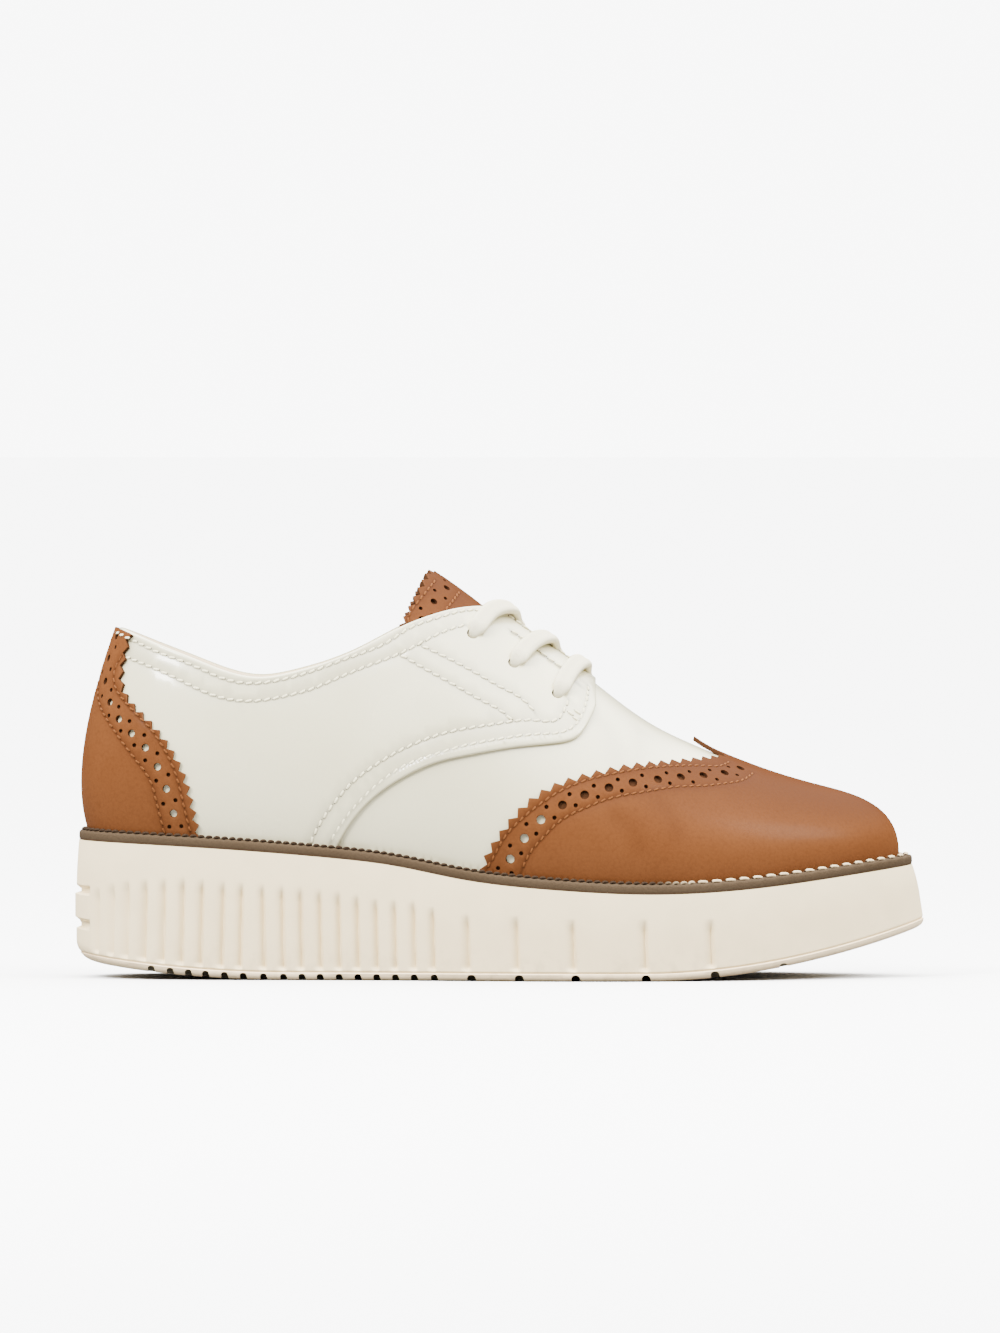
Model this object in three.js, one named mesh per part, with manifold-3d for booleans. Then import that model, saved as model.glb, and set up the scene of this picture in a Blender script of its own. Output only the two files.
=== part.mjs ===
// A woman's platform oxford, right shoe: a wing tip derby on a fluted platform sole.
// X runs from heel to toe, Y to the inner side of the foot and Z up, in millimetres.
// One skin, the last, is worked out below, and every piece of the upper is cut from it.
import * as THREE from "three";
import { mergeVertices } from "three/addons/utils/BufferGeometryUtils.js";
import Module from "manifold-3d";

const wasm = await Module();
wasm.setup();

// The last: its sizes where the upper meets the welt, and the height of its instep.
const lastLength = 261;
const ballWidth = 83;
const instepHeight = 100;
const toeSwing = 5.3; // how far the toe's point lies to the inner side

// Heights of the welt's upper face over the floor.
const heelRise = 48.4;
const ballRise = 31.6;
const toeRise = 40.6;

// Walls and clearances.
const wall = 1.8; // vamp and lining together
const quarterSkin = 1.2; // the quarters, which lie over the vamp
const overlay = 1.2; // wing tip and heel counter
const gap = 0.3; // between curved pieces that touch
const tongueThickness = 2;
const insoleThickness = 3;

// The sole unit.
const weltThickness = 3.4;
const weltLedge = 5.8; // how far the welt stands out past the upper
const weltRim = 2.4; // how far it reaches in under the insole, past the upper's wall
const weltEdge = 0.7; // its rounded outer edges
const soleFlare = 0.9; // how much wider the platform is than the welt
const toeFlare = 3.1; // what the platform's front adds to that
const outsoleThickness = 2.6;
const edgeRound = 2.2; // the platform's lower edge
const heelRound = 6.5; // the same at the back
const toeRound = 4.5; // and at the front
const heelLift = 6; // how far the tread's back end stands off the floor
const toeSpring = 16.6; // how far its front end does
const heelRoll = 70; // where the heel's lift starts, from the back
const toeRoll = 90; // where the toe's spring starts, from the front

// Flutes down the platform's sides, each over a groove across the tread.
const flutePitch = 6.15;
const grooveCount = 16;
const plainFlutes = 3; // at the heel, with no groove under them
const firstGroove = 25.7; // from the sole's back end
const fluteDepth = 1;
const fluteWidth = 4.4;
const fluteTop = 0.72; // share of the platform's height
const grooveWidth = 2.4;
const grooveDepth = 1.8;
const wideGrooves = [0.467, 0.523, 0.589, 0.671, 0.752]; // shares of the sole's length
const frontGroove = 0.833; // the last one, which has no flute

// A plain raised panel at the heel's back, between two grooves.
const panelWidth = 26;
const panelHeight = 8.6;
const panelProud = 0.4;
const panelGroove = 2.4;
const panelGrooveDepth = 1.6;
const panelShare = 0.48; // the panel's middle, as a share of the welt's height at the heel

// Pinked edges.
const toothPitch = 4.4;
const toothDepth = 1.3;

// Lacing.
const throatGap = 8; // between the two facings at the top
const throatFoot = 3.4; // and at the bottom
const eyeletRadius = 1.9;
const laceWidth = 4.4;
const laceThickness = 1.8;
const laceGap = 0.7; // between a lace and the facings that it crosses

// How finely the curved forms are cut into faces.
const skinColumns = 24;
const skinRows = 9;
const soleColumns = 24;
const lineStep = 7;

// One row for each section of the last, from the back of the heel to the point of the toe.
// foot: where it meets the welt, and top: where it meets the ridge, as shares of lastLength.
// outer, inner: half widths at the welt, and cone: half width at the ridge, as shares of half ballWidth.
// lean: degrees outwards at the welt. rise, crown: how far each end's direction holds, as shares of the height.
// drop: degrees that the surface falls away at the ridge.
const SECTIONS = [
  { foot: 0.0, top: 0.083, outer: 0.0, inner: 0.0, cone: 0.0, lean: 19, rise: 0.26, crown: 0.34, drop: 68 },
  { foot: 0.009, top: 0.089, outer: 0.25, inner: 0.25, cone: 0.145, lean: 18, rise: 0.26, crown: 0.34, drop: 70 },
  { foot: 0.037, top: 0.105, outer: 0.456, inner: 0.456, cone: 0.265, lean: 16, rise: 0.27, crown: 0.34, drop: 74 },
  { foot: 0.092, top: 0.138, outer: 0.602, inner: 0.6, cone: 0.35, lean: 14, rise: 0.28, crown: 0.34, drop: 78 },
  { foot: 0.184, top: 0.188, outer: 0.665, inner: 0.65, cone: 0.385, lean: 14, rise: 0.29, crown: 0.34, drop: 80 },
  { foot: 0.28, top: 0.242, outer: 0.69, inner: 0.628, cone: 0.375, lean: 13, rise: 0.3, crown: 0.33, drop: 80 },
  { foot: 0.376, top: 0.3, outer: 0.767, inner: 0.63, cone: 0.3, lean: 12, rise: 0.32, crown: 0.3, drop: 70 },
  { foot: 0.464, top: 0.372, outer: 0.892, inner: 0.702, cone: 0.12, lean: 12, rise: 0.34, crown: 0.24, drop: 32 },
  { foot: 0.548, top: 0.464, outer: 1.006, inner: 0.815, cone: 0.0, lean: 12, rise: 0.35, crown: 0.19, drop: 0 },
  { foot: 0.625, top: 0.548, outer: 1.068, inner: 0.903, cone: 0.0, lean: 12, rise: 0.37, crown: 0.22, drop: 0 },
  { foot: 0.702, top: 0.633, outer: 1.06, inner: 0.928, cone: 0.0, lean: 12, rise: 0.39, crown: 0.28, drop: 0 },
  { foot: 0.778, top: 0.709, outer: 0.975, inner: 0.871, cone: 0.0, lean: 12, rise: 0.38, crown: 0.31, drop: 0 },
  { foot: 0.855, top: 0.778, outer: 0.799, inner: 0.719, cone: 0.0, lean: 11, rise: 0.38, crown: 0.34, drop: 0 },
  { foot: 0.924, top: 0.836, outer: 0.564, inner: 0.516, cone: 0.0, lean: 9, rise: 0.39, crown: 0.36, drop: 0 },
  { foot: 0.974, top: 0.878, outer: 0.31, inner: 0.307, cone: 0.0, lean: 5, rise: 0.43, crown: 0.36, drop: 0 },
  { foot: 1.0, top: 0.893, outer: 0.0, inner: 0.0, cone: 0.0, lean: 2, rise: 0.47, crown: 0.36, drop: 0 },
];

// The ridge over the instep: share of lastLength, and height over the welt as a share of instepHeight.
const RIDGE = [
  { along: 0.077, rise: 0.998 },
  { along: 0.203, rise: 1.026 },
  { along: 0.295, rise: 1.035 },
  { along: 0.368, rise: 1.014 },
  { along: 0.426, rise: 0.968 },
  { along: 0.479, rise: 0.895 },
  { along: 0.533, rise: 0.8 },
  { along: 0.587, rise: 0.709 },
  { along: 0.64, rise: 0.608 },
  { along: 0.694, rise: 0.511 },
  { along: 0.747, rise: 0.44 },
  { along: 0.801, rise: 0.372 },
  { along: 0.855, rise: 0.307 },
  { along: 0.908, rise: 0.25 },
];

// The welt's upper face: share of the sole's length, and how much of the heel's and the toe's rise it has.
const WELT = [
  { along: 0.0, heel: 1.0, toe: 0.0 },
  { along: 0.14, heel: 0.89, toe: 0.0 },
  { along: 0.3, heel: 0.69, toe: 0.0 },
  { along: 0.38, heel: 0.53, toe: 0.0 },
  { along: 0.45, heel: 0.3, toe: 0.0 },
  { along: 0.56, heel: 0.09, toe: 0.0 },
  { along: 0.68, heel: 0.0, toe: 0.0 },
  { along: 0.8, heel: 0.0, toe: 0.19 },
  { along: 0.92, heel: 0.0, toe: 0.66 },
  { along: 1.0, heel: 0.0, toe: 1.0 },
];

// Lines of the pattern, seen from the side, in the ridge's terms.
const TOPLINE = [
  { along: -0.04, rise: 0.7 },
  { along: 0.024, rise: 0.663 },
  { along: 0.075, rise: 0.614 },
  { along: 0.123, rise: 0.571 },
  { along: 0.159, rise: 0.54 },
  { along: 0.207, rise: 0.525 },
  { along: 0.243, rise: 0.547 },
  { along: 0.293, rise: 0.596 },
  { along: 0.331, rise: 0.647 },
  { along: 0.377, rise: 0.726 },
  { along: 0.425, rise: 0.799 },
  { along: 0.466, rise: 0.84 },
  { along: 0.502, rise: 0.85 },
];
const QUARTER_EDGE = [
  { along: 0.622, rise: 0.8 },
  { along: 0.621, rise: 0.646 },
  { along: 0.622, rise: 0.583 },
  { along: 0.612, rise: 0.513 },
  { along: 0.597, rise: 0.463 },
  { along: 0.578, rise: 0.446 },
  { along: 0.532, rise: 0.426 },
  { along: 0.497, rise: 0.404 },
  { along: 0.461, rise: 0.374 },
  { along: 0.426, rise: 0.335 },
  { along: 0.391, rise: 0.277 },
  { along: 0.356, rise: 0.205 },
  { along: 0.33, rise: 0.135 },
  { along: 0.31, rise: 0.059 },
  { along: 0.29, rise: -0.05 },
];
const COUNTER_EDGE = [
  { along: 0.056, rise: 0.72 },
  { along: 0.05, rise: 0.665 },
  { along: 0.043, rise: 0.61 },
  { along: 0.038, rise: 0.55 },
  { along: 0.036, rise: 0.49 },
  { along: 0.042, rise: 0.445 },
  { along: 0.058, rise: 0.399 },
  { along: 0.079, rise: 0.345 },
  { along: 0.098, rise: 0.28 },
  { along: 0.113, rise: 0.206 },
  { along: 0.124, rise: 0.11 },
  { along: 0.132, rise: 0.015 },
  { along: 0.138, rise: -0.05 },
];
const WING_EDGE = [
  { along: 0.484, rise: -0.05 },
  { along: 0.49, rise: 0.046 },
  { along: 0.51, rise: 0.14 },
  { along: 0.536, rise: 0.228 },
  { along: 0.57, rise: 0.298 },
  { along: 0.625, rise: 0.354 },
  { along: 0.663, rise: 0.378 },
  { along: 0.7, rise: 0.387 },
  { along: 0.738, rise: 0.39 },
  { along: 0.772, rise: 0.392 },
  { along: 0.788, rise: 0.42 },
  { along: 0.8, rise: 0.48 },
];
// The wing's middle point, seen from above: its tip and root as shares of lastLength, and its half width.
const wingTip = 0.743;
const wingRoot = 0.83;
const wingHalf = 9;
// The eyelets on each facing, from the top one down, and where each one's lace crosses the ridge.
const EYELETS = [
  { name: "lace_top", along: 0.469, rise: 0.758, over: 0.533 },
  { name: "lace_middle", along: 0.52, rise: 0.679, over: 0.58 },
  { name: "lace_bottom", along: 0.575, rise: 0.591, over: 0.616 },
];
// The tongue: its free end above the collar, and its edge down under the facings and the vamp.
const TONGUE_TOP = [
  { along: 0.43, rise: 1.02 },
  { along: 0.4, rise: 0.866 },
  { along: 0.372, rise: 0.7 },
];
const TONGUE_SIDE = [
  { along: 0.46, rise: 0.6 },
  { along: 0.56, rise: 0.46 },
  { along: 0.66, rise: 0.42 },
  { along: 0.68, rise: 0.75 },
];

const halfBall = ballWidth / 2;
const quarterOut = gap + quarterSkin; // how far each layer's face stands off the skin
const counterOut = quarterOut + gap + overlay;
const heelX = panelProud + soleFlare + weltLedge; // the panel at the heel's back is at zero
const soleBack = panelProud;
const soleLength = heelX + lastLength + weltLedge + soleFlare + toeFlare;
const soleFront = soleLength - soleBack;
const spread = 2 * ballWidth; // more than any piece's width
const column = (table, name) => table.map((row) => row[name]);
const square = (value) => value * value;

// A natural cubic spline through the values at the given places.
function smooth(at, values) {
  const last = at.length - 1;
  const bend = new Array(last + 1).fill(0);
  const carry = new Array(last + 1).fill(0);
  for (let i = 1; i < last; i++) {
    const left = at[i] - at[i - 1];
    const right = at[i + 1] - at[i];
    const share = left / (left + right);
    const pivot = share * bend[i - 1] + 2;
    const turn = (values[i + 1] - values[i]) / right - (values[i] - values[i - 1]) / left;
    bend[i] = (share - 1) / pivot;
    carry[i] = ((6 * turn) / (left + right) - share * carry[i - 1]) / pivot;
  }
  for (let i = last - 1; i >= 0; i--) {
    bend[i] = bend[i] * bend[i + 1] + carry[i];
  }
  return (place) => {
    const x = Math.min(Math.max(place, at[0]), at[last]);
    let k = 0;
    while (k < last - 1 && x > at[k + 1]) k++;
    const step = at[k + 1] - at[k];
    const a = (at[k + 1] - x) / step;
    const b = (x - at[k]) / step;
    const curve = ((a ** 3 - a) * bend[k] + (b ** 3 - b) * bend[k + 1]) * step * step;
    return a * values[k] + b * values[k + 1] + curve / 6;
  };
}

const heelShare = smooth(column(WELT, "along"), column(WELT, "heel"));
const toeShare = smooth(column(WELT, "along"), column(WELT, "toe"));
const ridgeRise = smooth(column(RIDGE, "along"), column(RIDGE, "rise"));

function weltTop(x) {
  const share = x / soleLength;
  return ballRise + (heelRise - ballRise) * heelShare(share) + (toeRise - ballRise) * toeShare(share);
}

// The tread's underside: flat between the heel's roll and the toe's.
function treadBottom(x) {
  const back = Math.max(0, (heelRoll - x) / heelRoll);
  const front = Math.max(0, (x - (soleFront - toeRoll)) / toeRoll);
  return heelLift * back ** 1.9 + toeSpring * front ** 1.85;
}

const alongX = (share) => heelX + share * lastLength;
const ridgeZ = (x) => weltTop(x) + instepHeight * ridgeRise((x - heelX) / lastLength);

// The middle line swings to the inner side from the waist to the toe.
const swingStart = 0.35;
function middle(x) {
  const share = (x - alongX(swingStart)) / (alongX(1) - alongX(swingStart));
  return toeSwing * THREE.MathUtils.smoothstep(share, 0, 1);
}

// The sections as a loop round the last: turn is 0 at the heel's back and grows along the inner side.
// A few rows run on past the toe at each end, so that the spline is smooth there.
const lastRow = SECTIONS.length - 1;
const ROWS_OVER = 5;
const footY = (s, inner) => middle(alongX(s.foot)) + (inner ? s.inner : -s.outer) * halfBall;
const places = [0];
for (let i = 1; i <= lastRow; i++) {
  const [from, to] = [SECTIONS[i - 1], SECTIONS[i]];
  const forward = alongX(to.foot) - alongX(from.foot);
  const across = [true, false].map((inner) => footY(to, inner) - footY(from, inner));
  places.push(places[i - 1] + (Math.hypot(forward, across[0]) + Math.hypot(forward, across[1])) / 2);
}
const halfTurn = places[lastRow];
const rowsRound = [];
for (let i = -lastRow - ROWS_OVER; i <= lastRow + ROWS_OVER; i++) {
  const over = Math.abs(i) > lastRow;
  const index = over ? 2 * lastRow - Math.abs(i) : Math.abs(i);
  const turn = over ? 2 * halfTurn - places[index] : places[index];
  rowsRound.push({ section: SECTIONS[index], turn: Math.sign(i) * turn, inner: over ? i < 0 : i > 0 });
}
function round(value) {
  return smooth(
    column(rowsRound, "turn"),
    rowsRound.map((row) => value(row.section, row.inner)),
  );
}
const loop = {
  x: round((s) => alongX(s.foot)),
  y: round(footY),
  top: round((s) => alongX(s.top)),
  cone: round((s) => s.cone * halfBall),
  lean: round((s) => THREE.MathUtils.degToRad(s.lean)),
  rise: round((s) => s.rise),
  crown: round((s) => s.crown),
  drop: round((s) => THREE.MathUtils.degToRad(s.drop)),
};

// A point of the last's outline, moved out by a distance, with its outward direction.
function outline(turn, out) {
  const step = 0.5;
  const along = new THREE.Vector2(
    loop.x(turn + step) - loop.x(turn - step),
    loop.y(turn + step) - loop.y(turn - step),
  ).normalize();
  const normal = new THREE.Vector2(-along.y, along.x);
  return { x: loop.x(turn) + normal.x * out, y: loop.y(turn) + normal.y * out, normal };
}

// The skin of the last: turn round the outline, and up from the welt (0) to the ridge (1).
function skinPoint(turn, up) {
  const edge = outline(turn, 0);
  const foot = new THREE.Vector3(edge.x, edge.y, weltTop(edge.x) + gap);
  const topX = loop.top(turn);
  const cone = Math.max(0, loop.cone(turn));
  const top = new THREE.Vector3(topX, middle(topX) + Math.sign(turn) * cone, ridgeZ(topX));
  const reach = foot.distanceTo(top);
  const lean = loop.lean(turn);
  const low = new THREE.Vector3(edge.normal.x * Math.sin(lean), edge.normal.y * Math.sin(lean), Math.cos(lean));
  low.multiplyScalar(reach * loop.rise(turn)).add(foot);
  const slope = ridgeZ(topX + 0.5) - ridgeZ(topX - 0.5);
  const away = new THREE.Vector2(foot.x - top.x, foot.y - top.y).normalize();
  const drop = Math.max(0, loop.drop(turn));
  const high = new THREE.Vector3(away.x, away.y, slope * away.x).normalize().multiplyScalar(Math.cos(drop));
  high.z -= Math.sin(drop);
  high.multiplyScalar(reach * loop.crown(turn)).add(top);
  return new THREE.CubicBezierCurve3(foot, low, high, top).getPoint(up);
}

// The skin's outward direction. On the closed ridge it has no sideways part.
function skinNormal(turn, up) {
  if (up > 0.999 && loop.cone(turn) < 0.01) {
    const x = loop.top(turn);
    return new THREE.Vector3(ridgeZ(x - 0.5) - ridgeZ(x + 0.5), 0, 1).normalize();
  }
  const turnStep = 0.3;
  const upStep = 0.01;
  const along = skinPoint(turn + turnStep, up).sub(skinPoint(turn - turnStep, up));
  const rising = skinPoint(turn, Math.min(1, up + upStep)).sub(skinPoint(turn, Math.max(0, up - upStep)));
  return rising.cross(along).normalize();
}

// Turns from the toe, round the heel and back to the toe, closer together at both ends.
function turnsRound(count) {
  const crowding = 0.6;
  const turns = [];
  for (let i = -count; i < count; i++) {
    const share = i / count;
    turns.push(halfTurn * (share - (crowding * Math.sin(2 * Math.PI * share)) / (2 * Math.PI)));
  }
  return turns;
}

// A closed mesh with its touching corners joined becomes a solid.
function solid(geometry) {
  geometry.deleteAttribute("normal");
  geometry.deleteAttribute("uv");
  const joined = mergeVertices(geometry, 1e-4);
  const corners = joined.index.array;
  const kept = [];
  for (let i = 0; i < corners.length; i += 3) {
    const [a, b, c] = corners.subarray(i, i + 3);
    if (a !== b && b !== c && c !== a) kept.push(a, b, c);
  }
  const vertProperties = new Float32Array(joined.attributes.position.array);
  return new wasm.Manifold(new wasm.Mesh({ numProp: 3, vertProperties, triVerts: new Uint32Array(kept) }));
}

// A solid from rings of as many points each. Its ends are closed across, or it runs back into its first ring.
function loft(rings, endless = false) {
  const count = rings[0].length;
  const half = count / 2;
  const faces = [];
  const at = (ring, i) => ring * count + ((i + count) % count);
  const quad = (a, b, c, d) => faces.push(a, b, c, a, c, d);
  const bands = endless ? rings.length : rings.length - 1;
  for (let j = 0; j < bands; j++) {
    const next = (j + 1) % rings.length;
    for (let i = 0; i < count; i++) {
      quad(at(j, i), at(next, i), at(next, i + 1), at(j, i + 1));
    }
  }
  for (let k = 0; k < half && !endless; k++) {
    const last = rings.length - 1;
    quad(at(0, half - k), at(0, half + k), at(0, half + k + 1), at(0, half - k - 1));
    quad(at(last, half - k), at(last, half - k - 1), at(last, half + k + 1), at(last, half + k));
  }
  const geometry = new THREE.BufferGeometry();
  const values = rings.flat().flatMap((p) => [p.x, p.y, p.z]);
  geometry.setAttribute("position", new THREE.Float32BufferAttribute(values, 3));
  geometry.setIndex(faces);
  return solid(geometry);
}

// The whole last as a solid, its skin moved out by a distance and its foot carried down past the welt.
const footing = 8;
const skinTurns = turnsRound(skinColumns);
const skinGrid = [];
for (let j = 0; j <= skinRows; j++) {
  const up = j / skinRows;
  skinGrid.push(skinTurns.map((turn) => ({ point: skinPoint(turn, up), normal: skinNormal(turn, up) })));
}
function form(out) {
  const rings = skinGrid.map((row) => row.map((spot) => spot.point.clone().addScaledVector(spot.normal, out)));
  const foot = rings[0].map((point) => new THREE.Vector3(point.x, point.y, point.z - footing));
  return loft([foot, ...rings]);
}
const shell = (inside, outside) => form(outside).subtract(form(inside));

// Points seen from the side, at shares of the last's length and of the instep's height over the welt.
function sidePoint(row) {
  const x = alongX(row.along);
  return new THREE.Vector2(x, weltTop(x) + row.rise * instepHeight);
}

// A smooth line through a table's rows.
function line(table) {
  const curve = new THREE.SplineCurve(table.map(sidePoint));
  return curve.getSpacedPoints(Math.ceil(curve.getLength() / lineStep));
}

// The same line pinked: every other point lies back from it, to its left or, with a side of -1, its right.
function pinkedLine(table, side) {
  const curve = new THREE.SplineCurve(table.map(sidePoint));
  const teeth = Math.round(curve.getLength() / toothPitch);
  return curve.getSpacedPoints(2 * teeth).map((point, i) => {
    const along = curve.getTangentAt(i / (2 * teeth));
    const back = (i % 2) * toothDepth * side;
    return new THREE.Vector2(point.x - along.y * back, point.y + along.x * back);
  });
}

// A prism through the whole shoe, from an outline seen from the side, or from above.
function sidePrism(points) {
  const geometry = new THREE.ExtrudeGeometry(new THREE.Shape(points), { depth: spread, bevelEnabled: false });
  geometry.rotateX(Math.PI / 2);
  geometry.translate(0, spread / 2, 0);
  return solid(geometry);
}
function topPrism(points, low, high) {
  const geometry = new THREE.ExtrudeGeometry(new THREE.Shape(points), { depth: high - low, bevelEnabled: false });
  geometry.translate(0, 0, low);
  return solid(geometry);
}
const corner = (along, rise) => sidePoint({ along, rise });

// Shares that lie past the pieces on every side, and two places along the last between its collar and wing.
const skyRise = 1.6;
const groundRise = -0.05;
const backShare = -0.1;
const frontShare = 1.1;
const COLLAR_LOW = 0.3;
const VAMP_SHARE = 0.7;

// What is cut from the upper's pieces: all above the topline, and all below the welt's face.
const above = sidePrism([...line(TOPLINE), corner(TOPLINE.at(-1).along, skyRise), corner(TOPLINE[0].along, skyRise)]);
const weltLine = [];
const weltSteps = 28;
for (let i = 0; i <= weltSteps; i++) {
  const x = (soleLength * i) / weltSteps;
  weltLine.push(new THREE.Vector2(x, weltTop(x) + gap));
}
const below = sidePrism([new THREE.Vector2(soleLength, 0), new THREE.Vector2(0, 0), ...weltLine]);

// The throat's slot between the facings, and the narrow one that parts the quarters in front of it.
const throatX = alongX(QUARTER_EDGE[1].along);
const collarX = alongX(TOPLINE.at(-1).along);
function slot(front) {
  const wide = throatGap / 2;
  const narrow = throatFoot / 2;
  const back = alongX(COLLAR_LOW);
  const outlinePoints = [
    [back, wide],
    [collarX, wide],
    [throatX, narrow],
    [front, narrow],
    [front, -narrow],
    [throatX, -narrow],
    [collarX, -wide],
    [back, -wide],
  ];
  return topPrism(
    outlinePoints.map(([x, y]) => new THREE.Vector2(x, middle(x) + y)),
    weltTop(throatX) + weltLedge,
    weltTop(0) + skyRise * instepHeight,
  );
}

// The place on the skin that is seen from the side at a table's row.
function locate(row, side) {
  const target = sidePoint(row);
  const miss = (turn, up) => {
    const point = skinPoint(turn, up);
    return new THREE.Vector2(point.x - target.x, point.z - target.y);
  };
  const guesses = skinTurns.filter((turn) => turn * side > 0).flatMap((turn) => [0.6, 0.8].map((up) => [turn, up]));
  let [turn, up] = guesses.sort((a, b) => miss(...a).length() - miss(...b).length())[0];
  const turnStep = 0.1;
  const upStep = 0.001;
  for (let i = 0; i < 12; i++) {
    const now = miss(turn, up);
    const byTurn = miss(turn + turnStep, up).sub(now).divideScalar(turnStep);
    const byUp = miss(turn, up + upStep).sub(now).divideScalar(upStep);
    const area = byTurn.cross(byUp);
    turn -= now.cross(byUp) / area;
    up = Math.min(up - byTurn.cross(now) / area, 1 - upStep);
  }
  return { turn, up };
}

// The turn, from the heel on, up to which a test holds.
function turnWhere(holds) {
  let [back, front] = [0, halfTurn];
  for (let i = 0; i < 30; i++) {
    const middleTurn = (back + front) / 2;
    if (holds(middleTurn)) back = middleTurn;
    else front = middleTurn;
  }
  return front;
}

// Eyelet holes, straight through facing and lining.
const SIDES = [-1, 1];
const holes = SIDES.flatMap((side) =>
  EYELETS.map((row) => {
    const { turn, up } = locate(row, side);
    const normal = skinNormal(turn, up);
    const geometry = new THREE.CylinderGeometry(eyeletRadius, eyeletRadius, 4 * (wall + quarterSkin), 8);
    geometry.applyQuaternion(new THREE.Quaternion().setFromUnitVectors(new THREE.Vector3(0, 1, 0), normal));
    const point = skinPoint(turn, up);
    geometry.translate(point.x, point.y, point.z);
    return solid(geometry);
  }),
);
const cutAll = (body, cutters) => cutters.reduce((left, cutter) => left.subtract(cutter), body);

const upper = cutAll(shell(-wall, 0), [above, below, slot(throatX), ...holes]);

// Each quarter covers the vamp from the heel's back seam to the throat.
const quarterArea = sidePrism([
  ...line(QUARTER_EDGE),
  corner(backShare, groundRise),
  corner(backShare, skyRise),
  corner(QUARTER_EDGE[0].along, skyRise),
]);
const seam = topPrism(
  [
    [0, -1],
    [1, -1],
    [1, 1],
    [0, 1],
  ].map(([x, y]) => new THREE.Vector2(x * alongX(COLLAR_LOW), (y * gap) / 2)),
  0,
  weltTop(0) + skyRise * instepHeight,
);
const quarters = cutAll(shell(gap, quarterOut).intersect(quarterArea), [
  above,
  below,
  seam,
  slot(alongX(VAMP_SHARE)),
  ...holes,
]).decompose();

const counterArea = sidePrism([
  ...pinkedLine(COUNTER_EDGE, -1),
  corner(backShare, groundRise),
  corner(backShare, COUNTER_EDGE[0].rise),
]);
const heelCounter = cutAll(shell(quarterOut + gap, counterOut).intersect(counterArea), [above, below]);

const wingArea = sidePrism([
  ...pinkedLine(WING_EDGE, -1),
  corner(frontShare, WING_EDGE.at(-1).rise),
  corner(frontShare, groundRise),
]);
const wingPoint = topPrism(
  [
    [wingTip, 0],
    [wingRoot, -1],
    [wingRoot, 1],
  ].map(([along, side]) => new THREE.Vector2(alongX(along), middle(alongX(along)) + side * wingHalf)),
  weltTop(alongX(wingRoot)) + weltLedge,
  weltTop(0) + instepHeight,
);
const wing = shell(gap, gap + overlay).intersect(wingArea.add(wingPoint)).subtract(below);

// The tongue lies under facings and vamp, and its pinked end stands out over the collar.
const tongueOut = -wall - gap;
const tongueArea = sidePrism([...pinkedLine(TONGUE_TOP, 1), ...line(TONGUE_SIDE)]);
const tongue = shell(tongueOut - tongueThickness, tongueOut).intersect(tongueArea);

// A lace's crossing: two flat arms, each from its eyelet over the facing to the ridge, where they meet.
const armSteps = 5;
function laceArm(row, side) {
  const eyelet = locate(row, side);
  const overTurn = side * turnWhere((turn) => loop.top(side * turn) < alongX(row.over));
  const lift = quarterOut + laceGap + laceThickness / 2;
  const path = [];
  for (let i = 0; i <= armSteps; i++) {
    const share = i / armSteps;
    const turn = THREE.MathUtils.lerp(eyelet.turn, overTurn, share);
    const up = THREE.MathUtils.lerp(eyelet.up, 1, share);
    const normal = skinNormal(turn, up);
    path.push({ point: skinPoint(turn, up).addScaledVector(normal, lift), normal });
  }
  const end = path[armSteps];
  const overlap = end.point.clone().sub(path[armSteps - 1].point).setZ(0).setLength(laceThickness / 2);
  path.push({ point: end.point.clone().add(overlap), normal: end.normal });
  const bevel = 0.5;
  const section = [
    [-1, 0],
    [-bevel, -1],
    [bevel, -1],
    [1, 0],
    [bevel, 1],
    [-bevel, 1],
  ];
  const rings = path.map((spot, i) => {
    const from = path[Math.max(0, i - 1)].point;
    const to = path[Math.min(path.length - 1, i + 1)].point;
    const along = to.clone().sub(from).normalize();
    const across = along.clone().cross(spot.normal).normalize();
    return section.map(([wide, thick]) =>
      spot.point
        .clone()
        .addScaledVector(across, (wide * laceWidth) / 2)
        .addScaledVector(spot.normal, (thick * laceThickness) / 2),
    );
  });
  return loft(rings);
}
const laces = EYELETS.map((row) => ({ name: row.name, body: laceArm(row, -1).add(laceArm(row, 1)) }));

// The welt: a strip all round, with the upper's wall standing on it.
const welt = loft(
  [
    { out: weltLedge, low: 1, inset: weltEdge },
    { out: weltLedge, low: 0, inset: weltEdge },
    { out: weltLedge - weltEdge, low: 0, inset: 0 },
    { out: -wall - weltRim, low: 0, inset: 0 },
    { out: -wall - weltRim, low: 1, inset: -gap },
    { out: weltLedge - weltEdge, low: 1, inset: -gap },
  ].map(({ out, low, inset }) =>
    turnsRound(soleColumns).map((turn) => {
      const { x, y } = outline(turn, out);
      const z = weltTop(x) - low * weltThickness + (low ? Math.max(inset, gap) : -inset);
      return new THREE.Vector3(x, y, z);
    }),
  ),
  true,
);

// The insole rests on the welt's rim and fills the space inside it.
const insoleOut = -wall - 2 * gap;
const insoleStep = -wall - weltRim - gap;
const insole = loft(
  [
    { out: insoleStep, z: (x) => weltTop(x) - weltThickness + gap },
    { out: insoleStep, z: (x) => weltTop(x) + gap },
    { out: insoleOut, z: (x) => weltTop(x) + gap },
    { out: insoleOut, z: (x) => weltTop(x) + gap + insoleThickness },
  ].map(({ out, z }) =>
    turnsRound(soleColumns).map((turn) => {
      const { x, y } = outline(turn, out);
      return new THREE.Vector3(x, y, z(x));
    }),
  ),
);

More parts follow.
